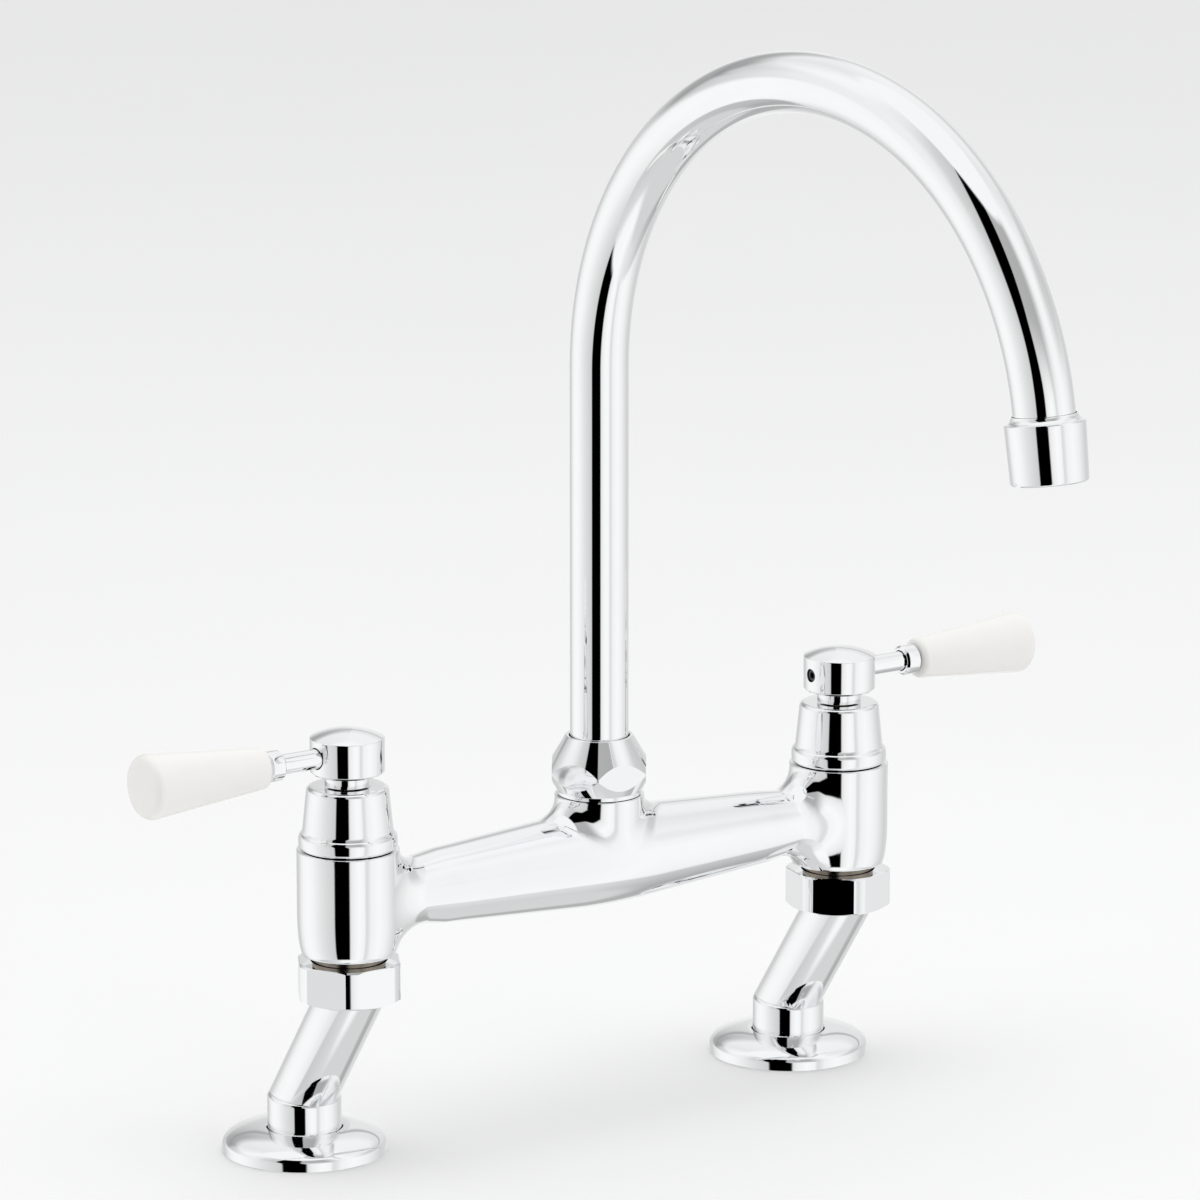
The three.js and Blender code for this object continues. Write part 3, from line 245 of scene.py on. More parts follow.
for side in SIDES:
    piece(side + "_flange", moved(flange(), over_hole(side)))

# %% [markdown]
# ## Legs
#
# The holes in a deck lie further back than the bridge should stand, so each leg is cranked. It is
# an upright collar, and a slanted tube that grows out of the collar's round shoulder. A bent tube
# would have no such corner. Both are turned here and cut by one slightly tilted plane, which is
# how the joint looks on the real leg. `trimmed` cuts a mesh by a plane, closes it and rounds the
# new edge.

# %% Legs
COLLAR_RADIUS, SLANT_RADIUS = 12.35, 10.9
JOINT = Vector((0, 0, 19.3))  # where the axes of collar and tube meet
JOINT_TILT, JOINT_ROUND = math.radians(4), 1.4
SLANT_TOP = NUT_BOTTOM - GAP
INLET, WATERWAY = 9.3, 7.2  # the threaded socket in the foot, and the bore above it
TAIL_RADIUS = 12.1  # the flange on the tail, which the union nut pulls up


def trimmed(mesh, point, normal, ease=0.0, steps=4):
    """Removes what lies on the normal's side of a plane, and closes the cut."""
    everything = list(mesh.verts) + list(mesh.edges) + list(mesh.faces)
    cut = bmesh.ops.bisect_plane(mesh, geom=everything, dist=1e-5, plane_co=point, plane_no=normal,
                                 clear_outer=True)
    rim = [item for item in cut["geom_cut"] if isinstance(item, bmesh.types.BMEdge)]
    bmesh.ops.contextual_create(mesh, geom=rim)
    if ease:
        bmesh.ops.bevel(mesh, geom=rim, offset=ease, segments=steps, profile=0.5, affect="EDGES",
                        material=-1)
    return mesh


def leg():
    normal = Vector((0, -math.sin(JOINT_TILT), math.cos(JOINT_TILT)))
    collar = lathe([
        (0, 15), (WATERWAY, 15), (WATERWAY, 13), (INLET, 13), (INLET, 0.4), (INLET + 0.4, 0),
        (COLLAR_RADIUS - 0.4, 0), (COLLAR_RADIUS, 0.4), (COLLAR_RADIUS, 40), (0, 40),
    ])
    trimmed(collar, JOINT, normal, JOINT_ROUND, 10)
    lean = math.atan2(CRANK, SLANT_TOP - JOINT.z)
    slant = lathe([(0, -20), (SLANT_RADIUS, -20), (SLANT_RADIUS, 80), (0, 80)])
    moved(slant, Matrix.Translation(JOINT) @ Matrix.Rotation(lean, 4, "X"))
    trimmed(slant, JOINT - normal, -normal)
    trimmed(slant, Vector((0, 0, SLANT_TOP)), Vector((0, 0, 1)), 0.3)
    tail = lathe([
        (WATERWAY, 56), (9.4, 56), (9.4, 62.4), (TAIL_RADIUS, 62.4), (TAIL_RADIUS, 64.2),
        (WATERWAY, 64.2), (WATERWAY, 56),
    ])
    return joined(collar, slant, moved(tail, Matrix.Translation((0, -CRANK, 0))))


for side in SIDES:
    piece(side + "_leg", moved(leg(), over_hole(side)))

# %% [markdown]
# ## Nuts
#
# A union nut holds each leg to the bridge, and just above it a ring of the nipple that it turns on
# stays bare. A nut is a hexagon with turned ends, so at each angle its surface is the nearer of
# two: the flat, or the turned outline. Cutting six flats with a Boolean would give the same shape
# with ragged edges. `nut_angles` puts steps exactly where a flat begins and ends instead, so that
# the edges of the flats are clean lines.

# %% Union nuts
UNION_FLAT, UNION_TURNED = 16.45, 17.9
UNION_END, UNION_MOUTH = 15.7, 16.9  # where the chamfers end, below and above


def nut_angles(flat, turned_radius, flat_steps=16, corner_steps=8):
    """(angle, radius of the hexagon) pairs that go once round, dense where the flats end."""
    edge = math.acos(flat / turned_radius)
    on_flat = [edge * (2 * step / flat_steps - 1) for step in range(flat_steps)]
    at_corner = [edge + (math.pi / 3 - 2 * edge) * step / corner_steps for step in range(corner_steps)]
    sixth = [(angle, min(flat / math.cos(angle), turned_radius)) for angle in on_flat]
    sixth += [(angle, turned_radius) for angle in at_corner]
    return [(angle + math.pi / 3 * number, radius) for number in range(6) for angle, radius in sixth]


def union_nut(turn):
    sections = []
    for angle, radius in nut_angles(UNION_FLAT, UNION_TURNED):
        under, over = (radius - UNION_END) / 2, max(0.15, (radius - UNION_MOUTH) / 2)
        outside = [
            (UNION_END, NUT_BOTTOM), (radius, NUT_BOTTOM + under),
            (radius, NUT_TOP - over), (radius - 2 * over, NUT_TOP),
        ]
        inside = [(12.7, NUT_TOP), (12.7, 62.1), (9.7, 62.1), (9.7, NUT_BOTTOM), (UNION_END, NUT_BOTTOM)]
        sections.append((angle + math.radians(turn + 30), outside + inside))
    return turned(sections)


for side, turn in (("left", 0), ("right", 18)):
    piece(side + "_union_nut", moved(union_nut(turn), at_pillar(side)))
    nipple = lathe([
        (WATERWAY, 66), (TAIL_RADIUS, 66), (TAIL_RADIUS, 73.9), (10.4, 73.9), (10.4, 78.5),
        (WATERWAY, 78.5), (WATERWAY, 66),
    ])
    piece(side + "_union_nipple", moved(nipple, at_pillar(side)))

# %% [markdown]
# ## The bridge
#
# The bridge is one casting. Its arm is a double cone with a round belly, and it runs into the
# pillars and up into the spout's boss with generous fillets. A Boolean union and a bevel could
# join them, but the bevel would break up on so many small faces. Here a fillet is found the way a
# foundry pattern maker would rub it: a circle is rolled along the stub until it touches the other
# surface, at every angle round the stub. The circle's arc from the stub to the touching point is
# the fillet. The circle is much larger at the stub's sides, and wider under the arm than over it.

# %% Rolled fillets
ARM_ROOT, ARM_BELLY, BELLY_ROUND = 11.3, 16.35, 14
BOSS_RADIUS = 15
FILLET_STEPS, BRIDGE_STEPS = 20, 160
SIDE_GAIN = 24  # how much larger the rolled circle is at a stub's sides


def fillet_at(angle, least, narrowness):
    """The rolled circle's radius at an angle round the stub; angle 0 has the least."""
    return least + SIDE_GAIN * abs(math.sin(angle)) ** narrowness


def arm_radius(along):
    """Straight tapers, with a parabola between them at the middle."""
    along = abs(along)
    taper = 2 * (ARM_BELLY - ARM_ROOT) / (SPACING - 2 * PILLAR_RADIUS - BELLY_ROUND)
    if along < BELLY_ROUND:
        return ARM_BELLY - taper * along**2 / (2 * BELLY_ROUND)
    return ARM_BELLY - taper * (along - BELLY_ROUND / 2)


def pillar_radius(level):
    share = min(1, max(0, (PILLAR_BOTTOM + FOOT_ROUND - level) / FOOT_ROUND))
    return FOOT_RADIUS + (PILLAR_RADIUS - FOOT_RADIUS) * math.sqrt(1 - share**2)


def rolled_fillet(stub, radius, surface):
    """(distance from the stub's axis, distance along the stub) points from the stub to the surface.

    surface(r) is how far along the stub the other surface lies, at a distance r from its axis.
    """
    def height(r):
        return surface(r) - math.sqrt(max(0, radius**2 - (r - stub - radius) ** 2))

    low, high = stub, stub + radius
    for _ in range(3):
        tries = [low + (high - low) * step / 60 for step in range(61)]
        touch = min(tries, key=height)
        low, high = max(stub, touch - (high - low) / 60), min(stub + radius, touch + (high - low) / 60)
    centre = height(touch)
    start = -90 if centre > 0 else 1 - math.degrees(math.acos(-centre / radius))
    end = math.degrees(math.asin((touch - stub - radius) / radius))
    bend = arc((centre, stub + radius), (radius, radius), start, end, FILLET_STEPS)
    points = [(r, along) for along, r in bend]
    return points + [(touch - 1, surface(touch) + 2)]


# %% The arm
ARM_FILLET, OVER_ARM, UNDER_ARM = 8.5, 2.5, 1.3  # the least circle, and its narrowness over and under
ARM_END = 11.5  # how far short of the pillar's axis the arm's mesh is closed
BOSS_INSIDE = 13.4


def arm():
    ends = SPACING / 2

    def section(angle):
        def surface(r):
            sideways, level = r * math.sin(angle), ARM_LEVEL - r * math.cos(angle)
            here = pillar_radius(level)
            return ends - math.sqrt(here**2 - sideways**2) if abs(sideways) < here else math.inf

        narrowness = UNDER_ARM if math.cos(angle) > 0 else OVER_ARM
        root = rolled_fillet(ARM_ROOT, fillet_at(angle, ARM_FILLET, narrowness), surface)
        belly = [(arm_radius(BELLY_ROUND * step / 12), BELLY_ROUND * step / 12) for step in range(1, 13)]
        taper = [(arm_radius(x), x) for x in range(18, 70, 6)]
        half = [*belly, *taper, *root, (10, ends - ARM_END), (0, ends - ARM_END)]
        return [(r, -x) for r, x in reversed(half)] + [(arm_radius(0), 0)] + half

    mesh = swept(section, BRIDGE_STEPS)
    # Laid along X, angle 0 comes to face down.
    moved(mesh, Matrix.Translation((0, 0, ARM_LEVEL)) @ Matrix.Rotation(math.pi / 2, 4, "Y"))
    trimmed(mesh, Vector((0, 0, PILLAR_TOP - 0.4)), Vector((0, 0, 1)))
    trimmed(mesh, Vector((0, 0, PILLAR_BOTTOM + 0.2)), Vector((0, 0, -1)))
    # The spigot's bore runs down through the belly, inside the boss.
    middles = {face: face.calc_center_median() for face in mesh.faces}
    inside = [face for face, at in middles.items() if at.xy.length < BOSS_INSIDE and at.z > ARM_LEVEL]
    bmesh.ops.delete(mesh, geom=inside, context="FACES")
    return mesh


# %% The boss
BOSS_FILLET, ROUND_BOSS = 9, 3.5  # the least circle, and its narrowness
SPIGOT_SEAT, SPIGOT_BORE = 93, 12.4


def boss():
    floor = BOSS_TOP - ARM_LEVEL

    def section(angle):
        def surface(r):
            belly, across = arm_radius(r * math.cos(angle)), r * math.sin(angle)
            return floor - math.sqrt(belly**2 - across**2) if abs(across) < belly else math.inf

        root = rolled_fillet(BOSS_RADIUS, fillet_at(angle, BOSS_FILLET, ROUND_BOSS), surface)
        outside = [(r, BOSS_TOP - drop) for r, drop in root]
        top = outside[0][0]
        neck = eased([(top - 1.5, BOSS_TOP), (11.9, BOSS_TOP), (11.9, NECK_TOP), (10.15, NECK_TOP)], 0.3)
        bore = [(10.15, 96.7), (6, 96.7), (6, SPIGOT_SEAT), (SPIGOT_BORE, SPIGOT_SEAT)]
        edge = eased([(top - 1.5, BOSS_TOP), (top, BOSS_TOP), outside[1]], 0.4)
        return [bore[-1], *reversed(outside[1:]), *reversed(edge[1:-1]), *neck, *bore]

    return swept(section, BRIDGE_STEPS)


# %% The pillars
def pillar():
    foot_size = (PILLAR_RADIUS - FOOT_RADIUS, FOOT_ROUND)
    foot = arc((FOOT_RADIUS, PILLAR_BOTTOM + FOOT_ROUND), foot_size, -90, 0, 28)
    top = eased([(PILLAR_RADIUS, PILLAR_TOP - 3), (PILLAR_RADIUS, PILLAR_TOP), (10.8, PILLAR_TOP)], 0.4)
    bore = [(10.8, 82), (5.2, 82), (5.2, 79.1), (10.7, 79.1), (10.7, PILLAR_BOTTOM), foot[0]]
    return lathe([*foot, *top, *bore])


bridge = joined(arm(), boss(), *(moved(pillar(), over_hole(side)) for side in SIDES))
piece("bridge_body", moved(bridge, Matrix.Translation((0, -CRANK, 0))))

# %% [markdown]
# ## The spout's nut
#
# The nut that holds the spout down is a hexagon between two cones. Each cone ends in a curve where
# it meets a flat, and the two of them meet at the corners, so a corner is almost a point. It is
# made as the union nuts are, with a profile for each angle: the further out a flat reaches, the
# shorter it is. A nut stops at any turn when it is tight, and this one has the turn that the
# photograph shows.

# %% Spout nut
NUT_FLAT, NUT_WAIST = 15.65, 18  # half the width across the flats, and across the corners
WAIST_LEVEL, CONE_FOOT = 121.2, 122
SKIRT, NUT_MOUTH, TUBE_FIT = 14.3, 11.3, 10.15
SPOUT_NUT_TURN = 23.7


def spout_nut():
    bottom, top = BOSS_TOP + SEAM, 133.4
    skirt_top, cone = bottom + 1.3, (NUT_WAIST - NUT_MOUTH) / (top - CONE_FOOT)
    under = (NUT_WAIST - SKIRT) / (WAIST_LEVEL - skirt_top)
    sections = []
    for angle, radius in nut_angles(NUT_FLAT, NUT_WAIST, 24, 4):
        flat_foot = WAIST_LEVEL - (NUT_WAIST - radius) / under
        flat_top = CONE_FOOT + (NUT_WAIST - radius) / cone
        outside = eased([(12.2, bottom), (SKIRT, bottom), (SKIRT, skirt_top), (radius, flat_foot)], 0.3)
        flat = [(radius, flat_foot), (radius, flat_top)]
        mouth = eased([
            flat[1], (NUT_MOUTH, top), (TUBE_FIT, top), (TUBE_FIT, 126.4), (12.2, 126.4), (12.2, bottom),
        ], 0.35)
        sections.append((angle + math.radians(SPOUT_NUT_TURN), outside[:-1] + flat + mouth[1:]))
    return turned(sections)


piece("spout_nut", moved(spout_nut(), Matrix.Translation((0, -CRANK, 0))))

# %% [markdown]
# ## Bonnets
#
# A bonnet screws down over each valve. A round bead sits on the pillar, a slender cone stands on
# the bead, and its shoulder is rounded where the lever's hub turns above it. It is one turning,
# and the bead is two arcs that meet at its widest line, because the lower one is the tighter.

# %% Bonnets
def bonnet():
    bottom = PILLAR_TOP + SEAM
    bead = arc((14.75, bottom + 1.5), (1.5, 1.5), -90, 0, 10)
    bead += arc((14.75, bottom + 3.2), (1.5, 2.4), 0, 66, 12)
    foot = [(15.2, bottom + 5.75), (15, bottom + 6.15), (14.85, bottom + 6.8)]
    shoulder = arc((12, 129), (1.6, 1.6), 4, 90, 10)
    mouth = eased([
        shoulder[-1], (5.4, 130.6), (5.4, 129), (12, 129), (13.3, 114.6), (13.3, bottom), bead[0],
    ], 0.3)
    return lathe([*bead, *foot, *shoulder, *mouth[1:]])


for side in SIDES:
    piece(side + "_bonnet", moved(bonnet(), at_pillar(side)))

# %% [markdown]
# ## Levers
#
# The hub is a drum on a narrow neck, and it turns the valve. A thin stem screws into its side, and
# carries a ferrule and a porcelain handle. `laid` puts a part that was turned on Z along a lever
# whose hub stands at the origin, and `along_lever` puts it on the tap.
#
# The hub has a hole for the stem on one side and one for the set screw on the other. A round hole
# across a round drum has no simple profile, so the holes are cut with a Boolean modifier, which
# is applied straight away. They are small and dark, so its slivers don't show.

# %% Cutting
def cut_out(mesh, *cutters):
    """Cuts other meshes out of a mesh."""
    blocks = []
    for block in (mesh, *cutters):
        bmesh.ops.recalc_face_normals(block, faces=block.faces)
        data = bpy.data.meshes.new("blank")
        block.to_mesh(data)
        block.free()
        blocks.append(bpy.data.objects.new("blank", data))
        bpy.context.scene.collection.objects.link(blocks[-1])
    for cutter in blocks[1:]:
        modifier = blocks[0].modifiers.new("cut", "BOOLEAN")
        modifier.operation, modifier.solver, modifier.object = "DIFFERENCE", "EXACT", cutter
    result = bmesh.new()
    result.from_object(blocks[0], bpy.context.evaluated_depsgraph_get())
    for block in blocks:
        data = block.data
        bpy.data.objects.remove(block)
        bpy.data.meshes.remove(data)
    return result


# %% The hub
HUB_RADIUS, HUB_NECK, HUB_BOTTOM, HUB_TOP = 12.25, 7.5, 130.95, 149.8
DOME_RISE = 3
STEM_RADIUS, SCREW_RADIUS = 3.35, 2


def laid(side):
    turn = Matrix.Rotation(0 if side == "right" else math.pi, 4, "Z")
    return turn @ Matrix.Translation((0, 0, LEVER_LEVEL)) @ Matrix.Rotation(math.pi / 2, 4, "Y")


def along_lever(side):
    return at_pillar(side) @ laid(side)


def rod(radius, start, end, steps=SMALL_TURN):
    return lathe([(0, start), (radius, start), (radius, end), (0, end)], steps)


def hub(side):
    ball = (HUB_RADIUS**2 + DOME_RISE**2) / (2 * DOME_RISE)
    edge = math.degrees(math.asin(HUB_RADIUS / ball))
    dome = arc((0, HUB_TOP - ball), (ball, ball), 90 - edge, 90, 20)
    neck = [(HUB_NECK, HUB_BOTTOM), (HUB_NECK, 134.9)]
    drum = eased([*neck, (HUB_RADIUS - 0.8, 134.9), (HUB_RADIUS, 135.7), dome[0], dome[1]], 0.4)
    blank = lathe([(0, HUB_BOTTOM), *drum, *dome[2:-1], (0, HUB_TOP)])
    stem_hole = moved(rod(STEM_RADIUS + GAP, 6.5, 14), laid(side))
    screw_hole = moved(rod(SCREW_RADIUS + GAP, -14, -5), laid(side))
    spindle_hole = rod(4.3, 129, 143.8)
    return moved(cut_out(blank, stem_hole, screw_hole, spindle_hole), at_pillar(side))


# %% The small lever parts
def set_screw():
    """A grub screw with a hexagon socket, turned with its outer end down."""
    outer, inner, socket_floor = -11.65, -5.65, -9.45
    sections = []
    for angle, key in nut_angles(1, 2 / math.sqrt(3), 8, 1):
        socket = [(0, socket_floor), (key, socket_floor), (key, outer + 0.15), (key + 0.1, outer)]
        tip = [(SCREW_RADIUS - 0.2, outer), (SCREW_RADIUS, outer + 0.2)]
        sections.append((angle, [*socket, *tip, (SCREW_RADIUS, inner), (0, inner)]))
    return turned(sections)


def ferrule():
    bore, start, end = STEM_RADIUS + GAP, 26, 32
    body = [(4.3, start), (5.1, start + 0.8), (5.1, end - 0.8), (4.3, end)]
    return lathe(eased([(bore, start), *body, (bore, end), (bore, start)], 0.3), SMALL_TURN)


# %% The handle
def handle():
    """Its ends are rounded, the inner one by a small arc and the outer one by a larger."""
    bore, start, end, bore_end = STEM_RADIUS + GAP, 32.3, 78.3, 66.3
    thin_radius, thin_round, thick_radius, thick_round = 6.95, 1.8, 10.7, 3
    thin = arc((thin_radius - thin_round, start + thin_round), (thin_round, thin_round), -90, 0, 12)
    thick = arc((thick_radius - thick_round, end - thick_round), (thick_round, thick_round), 0, 90, 16)
    return lathe([(bore, start), *thin, *thick, (0, end), (0, bore_end), (bore, bore_end), (bore, start)])


for side in SIDES:
    lay = along_lever(side)
    piece(side + "_lever_hub", hub(side))
    piece(side + "_set_screw", moved(set_screw(), lay))
    piece(side + "_lever_stem", moved(rod(STEM_RADIUS, 6.8, 66), lay))
    piece(side + "_lever_ferrule", moved(ferrule(), lay))
    piece(side + "_lever_handle", moved(handle(), lay))

# %% [markdown]
# ## The spout
#
# The spout is one tube, with a straight riser and one long bend. A curve with a bevel would be
# quick, but its rings drift apart from a true circle where the bend begins. So a ring of edges is
# extruded for the riser and spun about the bend's centre, as a tube bender does it. It is done
# twice, for the outside and the inside of the wall, and the two are bridged at both ends. The
# whole spout is swung a little to one side, as in the photograph.

# %% Spout
SPOUT_BOTTOM, SPOUT_RISE, BEND, SWEEP = 128.9, 258.3, 106, math.radians(172)
TUBE_RADIUS, TUBE_BORE = 9.78, 8.6
SWING = Matrix.Translation((0, -CRANK, 0)) @ Matrix.Rotation(math.radians(5.2), 4, "Z")
SPOUT_END = Vector((0, -BEND * (1 - math.cos(SWEEP)), SPOUT_RISE + BEND * math.sin(SWEEP)))


def spout():
    mesh = bmesh.new()
    ends = [[], []]
    foot = Matrix.Translation((0, 0, SPOUT_BOTTOM))
    for radius in (TUBE_RADIUS, TUBE_BORE):
        circle = bmesh.ops.create_circle(mesh, radius=radius, segments=96, matrix=foot)
        edges = list({edge for vertex in circle["verts"] for edge in vertex.link_edges})
        ends[0] += edges
        for _ in range(12):
            grown = bmesh.ops.extrude_edge_only(mesh, edges=edges)["geom"]
            edges = [item for item in grown if isinstance(item, bmesh.types.BMEdge)]
            edges = [edge for edge in edges if len(edge.link_faces) == 1]
            rise = (0, 0, (SPOUT_RISE - SPOUT_BOTTOM) / 12)
            bmesh.ops.translate(mesh, verts=list({v for e in edges for v in e.verts}), vec=rise)
        spun = bmesh.ops.spin(mesh, geom=edges, cent=(0, -BEND, SPOUT_RISE), axis=(1, 0, 0), dvec=(0, 0, 0),
                              angle=SWEEP, steps=150, use_duplicate=False)
        ends[1] += [item for item in spun["geom_last"] if isinstance(item, bmesh.types.BMEdge)]
    for pair in ends:
        bmesh.ops.bridge_loops(mesh, edges=pair)
    return mesh


piece("spout_tube", moved(spout(), SWING))

# %% [markdown]
# ## The aerator
#
# The aerator mixes air into the water. Its housing screws onto the end of the spout, and has a
# hollow shoulder and two slots across its mouth for a key. The plastic insert inside it has a ring
# of holes. Modelling them at the tilted outlet would be awkward, so both are turned with the
# spout's end at level 0 and the water running up, and are then carried to the end of the spout.

# %% The aerator's housing
OUTLET = SWING @ Matrix.Translation(SPOUT_END) @ Matrix.Rotation(SWEEP, 4, "X")
MOUTH_LEVEL, KEY_TURN = 19.7, math.radians(8)
SLOT_WIDTH, SLOT_DEPTH = 2.6, 1.4


def housing():
    cove = arc((12.4, -1.5), (1.9, 2.2), 178, 92, 14)
    end = arc((11.34, MOUTH_LEVEL - 0.9), (0.9, 0.9), 2, 90, 8)
    mouth = eased([
        end[-1], (9.6, MOUTH_LEVEL), (9.6, 17.5), (11.3, 17.5), (11.3, 1.6), (10.1, 1.6), (10.1, -1.5),
    ], 0.2)
    shell = lathe([(10.1, -1.5), *cove, (12.45, 0.75), (12.62, 0.85), (12.75, 1.15), *end, *mouth[1:]])
    slot = bmesh.new()
    across = Matrix.Rotation(KEY_TURN, 4, "Z") @ Matrix.Translation((0, 0, MOUTH_LEVEL))
    size = Matrix.Diagonal((51, SLOT_WIDTH, 2 * SLOT_DEPTH, 1))
    bmesh.ops.create_cube(slot, size=1, matrix=across @ size)
    return cut_out(shell, slot)


# %% The aerator's insert
JET_RING, JET_RADIUS, JETS = 5.6, 1, 8


def insert():
    cup = lathe([
        (0, 15.2), (8.6, 15.2), (8.6, 13.2), (11, 13.2), (11, 17.2), (9.3, 17.2), (9.3, 18.1),
        (9.1, 18.3), (0, 18.3),
    ], SMALL_TURN)
    turns = [2 * math.pi * n / JETS for n in range(JETS)]
    places = [(JET_RING * math.cos(t), JET_RING * math.sin(t)) for t in turns] + [(0, 0)]
    holes = [moved(rod(JET_RADIUS, 12, 20, 24), Matrix.Translation((x, y, 0))) for x, y in places]
    return cut_out(cup, *holes)


piece("aerator_housing", moved(housing(), OUTLET))
piece("aerator_insert", moved(insert(), OUTLET))

# %% [markdown]
# ## Materials
#
# Materials can be drawn in the node editor, but written down they can be read and kept. A `Socket`
# wraps one output of a node, so that shader maths reads like any other maths. `Shader` makes every
# other node with one method.

# %% Shader maths
class Socket:
    """One output of a node, on which arithmetic adds Math nodes."""

    def __init__(self, shader, link):
        self.shader, self.link = shader, link

    def __add__(self, other):
        return self.shader.maths("ADD", self, other)

    def __sub__(self, other):
        return self.shader.maths("SUBTRACT", self, other)

    def __rsub__(self, other):
        return self.shader.maths("SUBTRACT", other, self)

    def __mul__(self, other):
        return self.shader.maths("MULTIPLY", self, other)

    def __truediv__(self, other):
        return self.shader.maths("DIVIDE", self, other)

    __radd__, __rmul__ = __add__, __mul__


class Shader:
    """The node tree of a material or of the world."""

    def __init__(self, owner):
        owner.use_nodes = True
        self.owner, self.tree = owner, owner.node_tree
        self.tree.nodes.clear()

    def node(self, kind, settings=None, values=None, output=0):
        """Adds a node: its settings first, then the values or links of its sockets."""
        made = self.tree.nodes.new(kind)
        for name, value in (settings or {}).items():
            if name == "stops":
                while len(made.color_ramp.elements) < len(value):
                    made.color_ramp.elements.new(1)
                for element, (place, colour) in zip(made.color_ramp.elements, value):
                    element.position, element.color = place, colour
            else:
                setattr(made, name, value)
        for name, value in (values or {}).items():
            if isinstance(value, Socket):
                self.tree.links.new(value.link, made.inputs[name])
            else:
                made.inputs[name].default_value = value
        return Socket(self, made.outputs[output]) if made.outputs else None

    def maths(self, operation, *values):
        return self.node("ShaderNodeMath", {"operation": operation}, dict(enumerate(values)))

    def blend(self, factor, first, second):
        """A colour between two colours, each a link or three numbers."""
        first, second = [value if isinstance(value, Socket) else (*value, 1) for value in (first, second)]
        values = {"Factor": factor, 6: first, 7: second}
        return self.node("ShaderNodeMix", {"data_type": "RGBA"}, values, 2)


def surface(name, settings, build):
    """A material with one Principled shader: its constants, and what build adds to them."""
    shader = Shader(bpy.data.materials.new(name))
    place = shader.node("ShaderNodeTexCoord", output=3)
    varied = build(shader, place)
    lit = shader.node("ShaderNodeBsdfPrincipled", None, {**settings, **varied})
    shader.node("ShaderNodeOutputMaterial", None, {"Surface": lit})
    return shader.owner


# %% [markdown]
# ## Finishes
#
# Polished chrome is nearly a perfect mirror. What keeps it from looking like a computer's mirror
# is a very slight change of roughness and tint over the surface, and a waviness too shallow to
# see except in a reflection. Both follow noise on Object coordinates, so they stay on the metal
# when a lever turns. The handles are glazed porcelain: a warm white under a smooth glaze. The bare
# brass, rubber, fibre, plastic and ceramic parts inside each get a grain of their own.

# %% Chrome
def chrome_finish(shader, place):
    cloud = shader.node("ShaderNodeTexNoise", None, {"Vector": place, "Scale": 45.0, "Detail": 3.0})
    wave = shader.node("ShaderNodeTexNoise", None, {"Vector": place, "Scale": 18.0, "Detail": 1.0})
    bump = shader.node("ShaderNodeBump", None, {"Height": wave, "Strength": 0.03, "Distance": 0.001})
    return {
        "Base Color": shader.blend(cloud, (0.90, 0.91, 0.92), (0.94, 0.945, 0.95)),
        "Roughness": 0.02 + cloud * 0.03,
        "Normal": bump,
    }


chrome = surface("chrome", {"Metallic": 1.0}, chrome_finish)


# %% Porcelain
def porcelain_finish(shader, place):
    cloud = shader.node("ShaderNodeTexNoise", None, {"Vector": place, "Scale": 30.0, "Detail": 2.0})
    bump = shader.node("ShaderNodeBump", None, {"Height": cloud, "Strength": 0.05, "Distance": 0.001})
    return {
        "Base Color": shader.blend(cloud, (0.94, 0.93, 0.905), (0.96, 0.95, 0.93)),
        "Roughness": 0.10 + cloud * 0.05,
        "Normal": bump,
    }


porcelain = surface("porcelain", {"IOR": 1.5}, porcelain_finish)


# %% The other finishes
METAL, PLAIN = {"Metallic": 1.0}, {}
GRAINED = {  # settings, dark and light colour, roughness, grain's scale and depth
    # The brass is far darker than bare brass. Its colour is partly brass and partly painted shade, for the
    # nipple ring that shows in the shaded gap between each pillar and its union nut.
    "brass": (METAL, (0.20, 0.17, 0.14), (0.34, 0.30, 0.25), 0.12, 300.0, 0.05),
    "disc_ceramic": (PLAIN, (0.72, 0.70, 0.64), (0.80, 0.78, 0.72), 0.2, 600.0, 0.05),
    "rubber": (PLAIN, (0.008, 0.008, 0.009), (0.02, 0.02, 0.022), 0.6, 700.0, 0.2),
    "fibre": (PLAIN, (0.20, 0.04, 0.025), (0.34, 0.09, 0.06), 0.75, 900.0, 0.4),
    "plastic": (PLAIN, (0.78, 0.77, 0.74), (0.84, 0.83, 0.80), 0.35, 500.0, 0.05),
    "steel": (METAL, (0.05, 0.05, 0.055), (0.12, 0.12, 0.13), 0.35, 400.0, 0.1),
}


def grained(dark, light, rough, scale, depth):
    """A finish whose colour and relief follow one grain."""
    def build(shader, place):
        grain = shader.node("ShaderNodeTexNoise", None, {"Vector": place, "Scale": scale, "Detail": 5.0})
        relief = {"Height": grain, "Strength": depth, "Distance": 0.001}
        return {
            "Base Color": shader.blend(grain, dark, light),
            "Roughness": rough + grain * 0.12,
            "Normal": shader.node("ShaderNodeBump", None, relief),
        }
    return build


finishes = {"chrome": chrome, "ceramic": porcelain}
for name, (settings, *grain) in GRAINED.items():
    finishes[name] = surface(name, settings, grained(*grain))

# %% Each part gets the finish of its slot
for node, part in frame["nodes"].items():
    shown = pieces.get(node, part)
    shown.data.materials.clear()
    shown.data.materials.append(finishes[slot_of[node]])
for name in finishes:
    print(name, "is on", [node for node in frame["nodes"] if slot_of[node] == name])

# %% [markdown]
# ## The camera
#
# The camera stands to the left of the tap and a little above it, far back with a long lens, as in
# a catalogue. It could be aimed by eye, but reflections only fall in the right place from the
# right angle. So its place was worked out once from the round edges in the photograph, whose
# ellipses give the pitch and the distance, and it is built here from those numbers. A small step
# aside, instead of a lens shift, puts the aim point where the photograph has it.

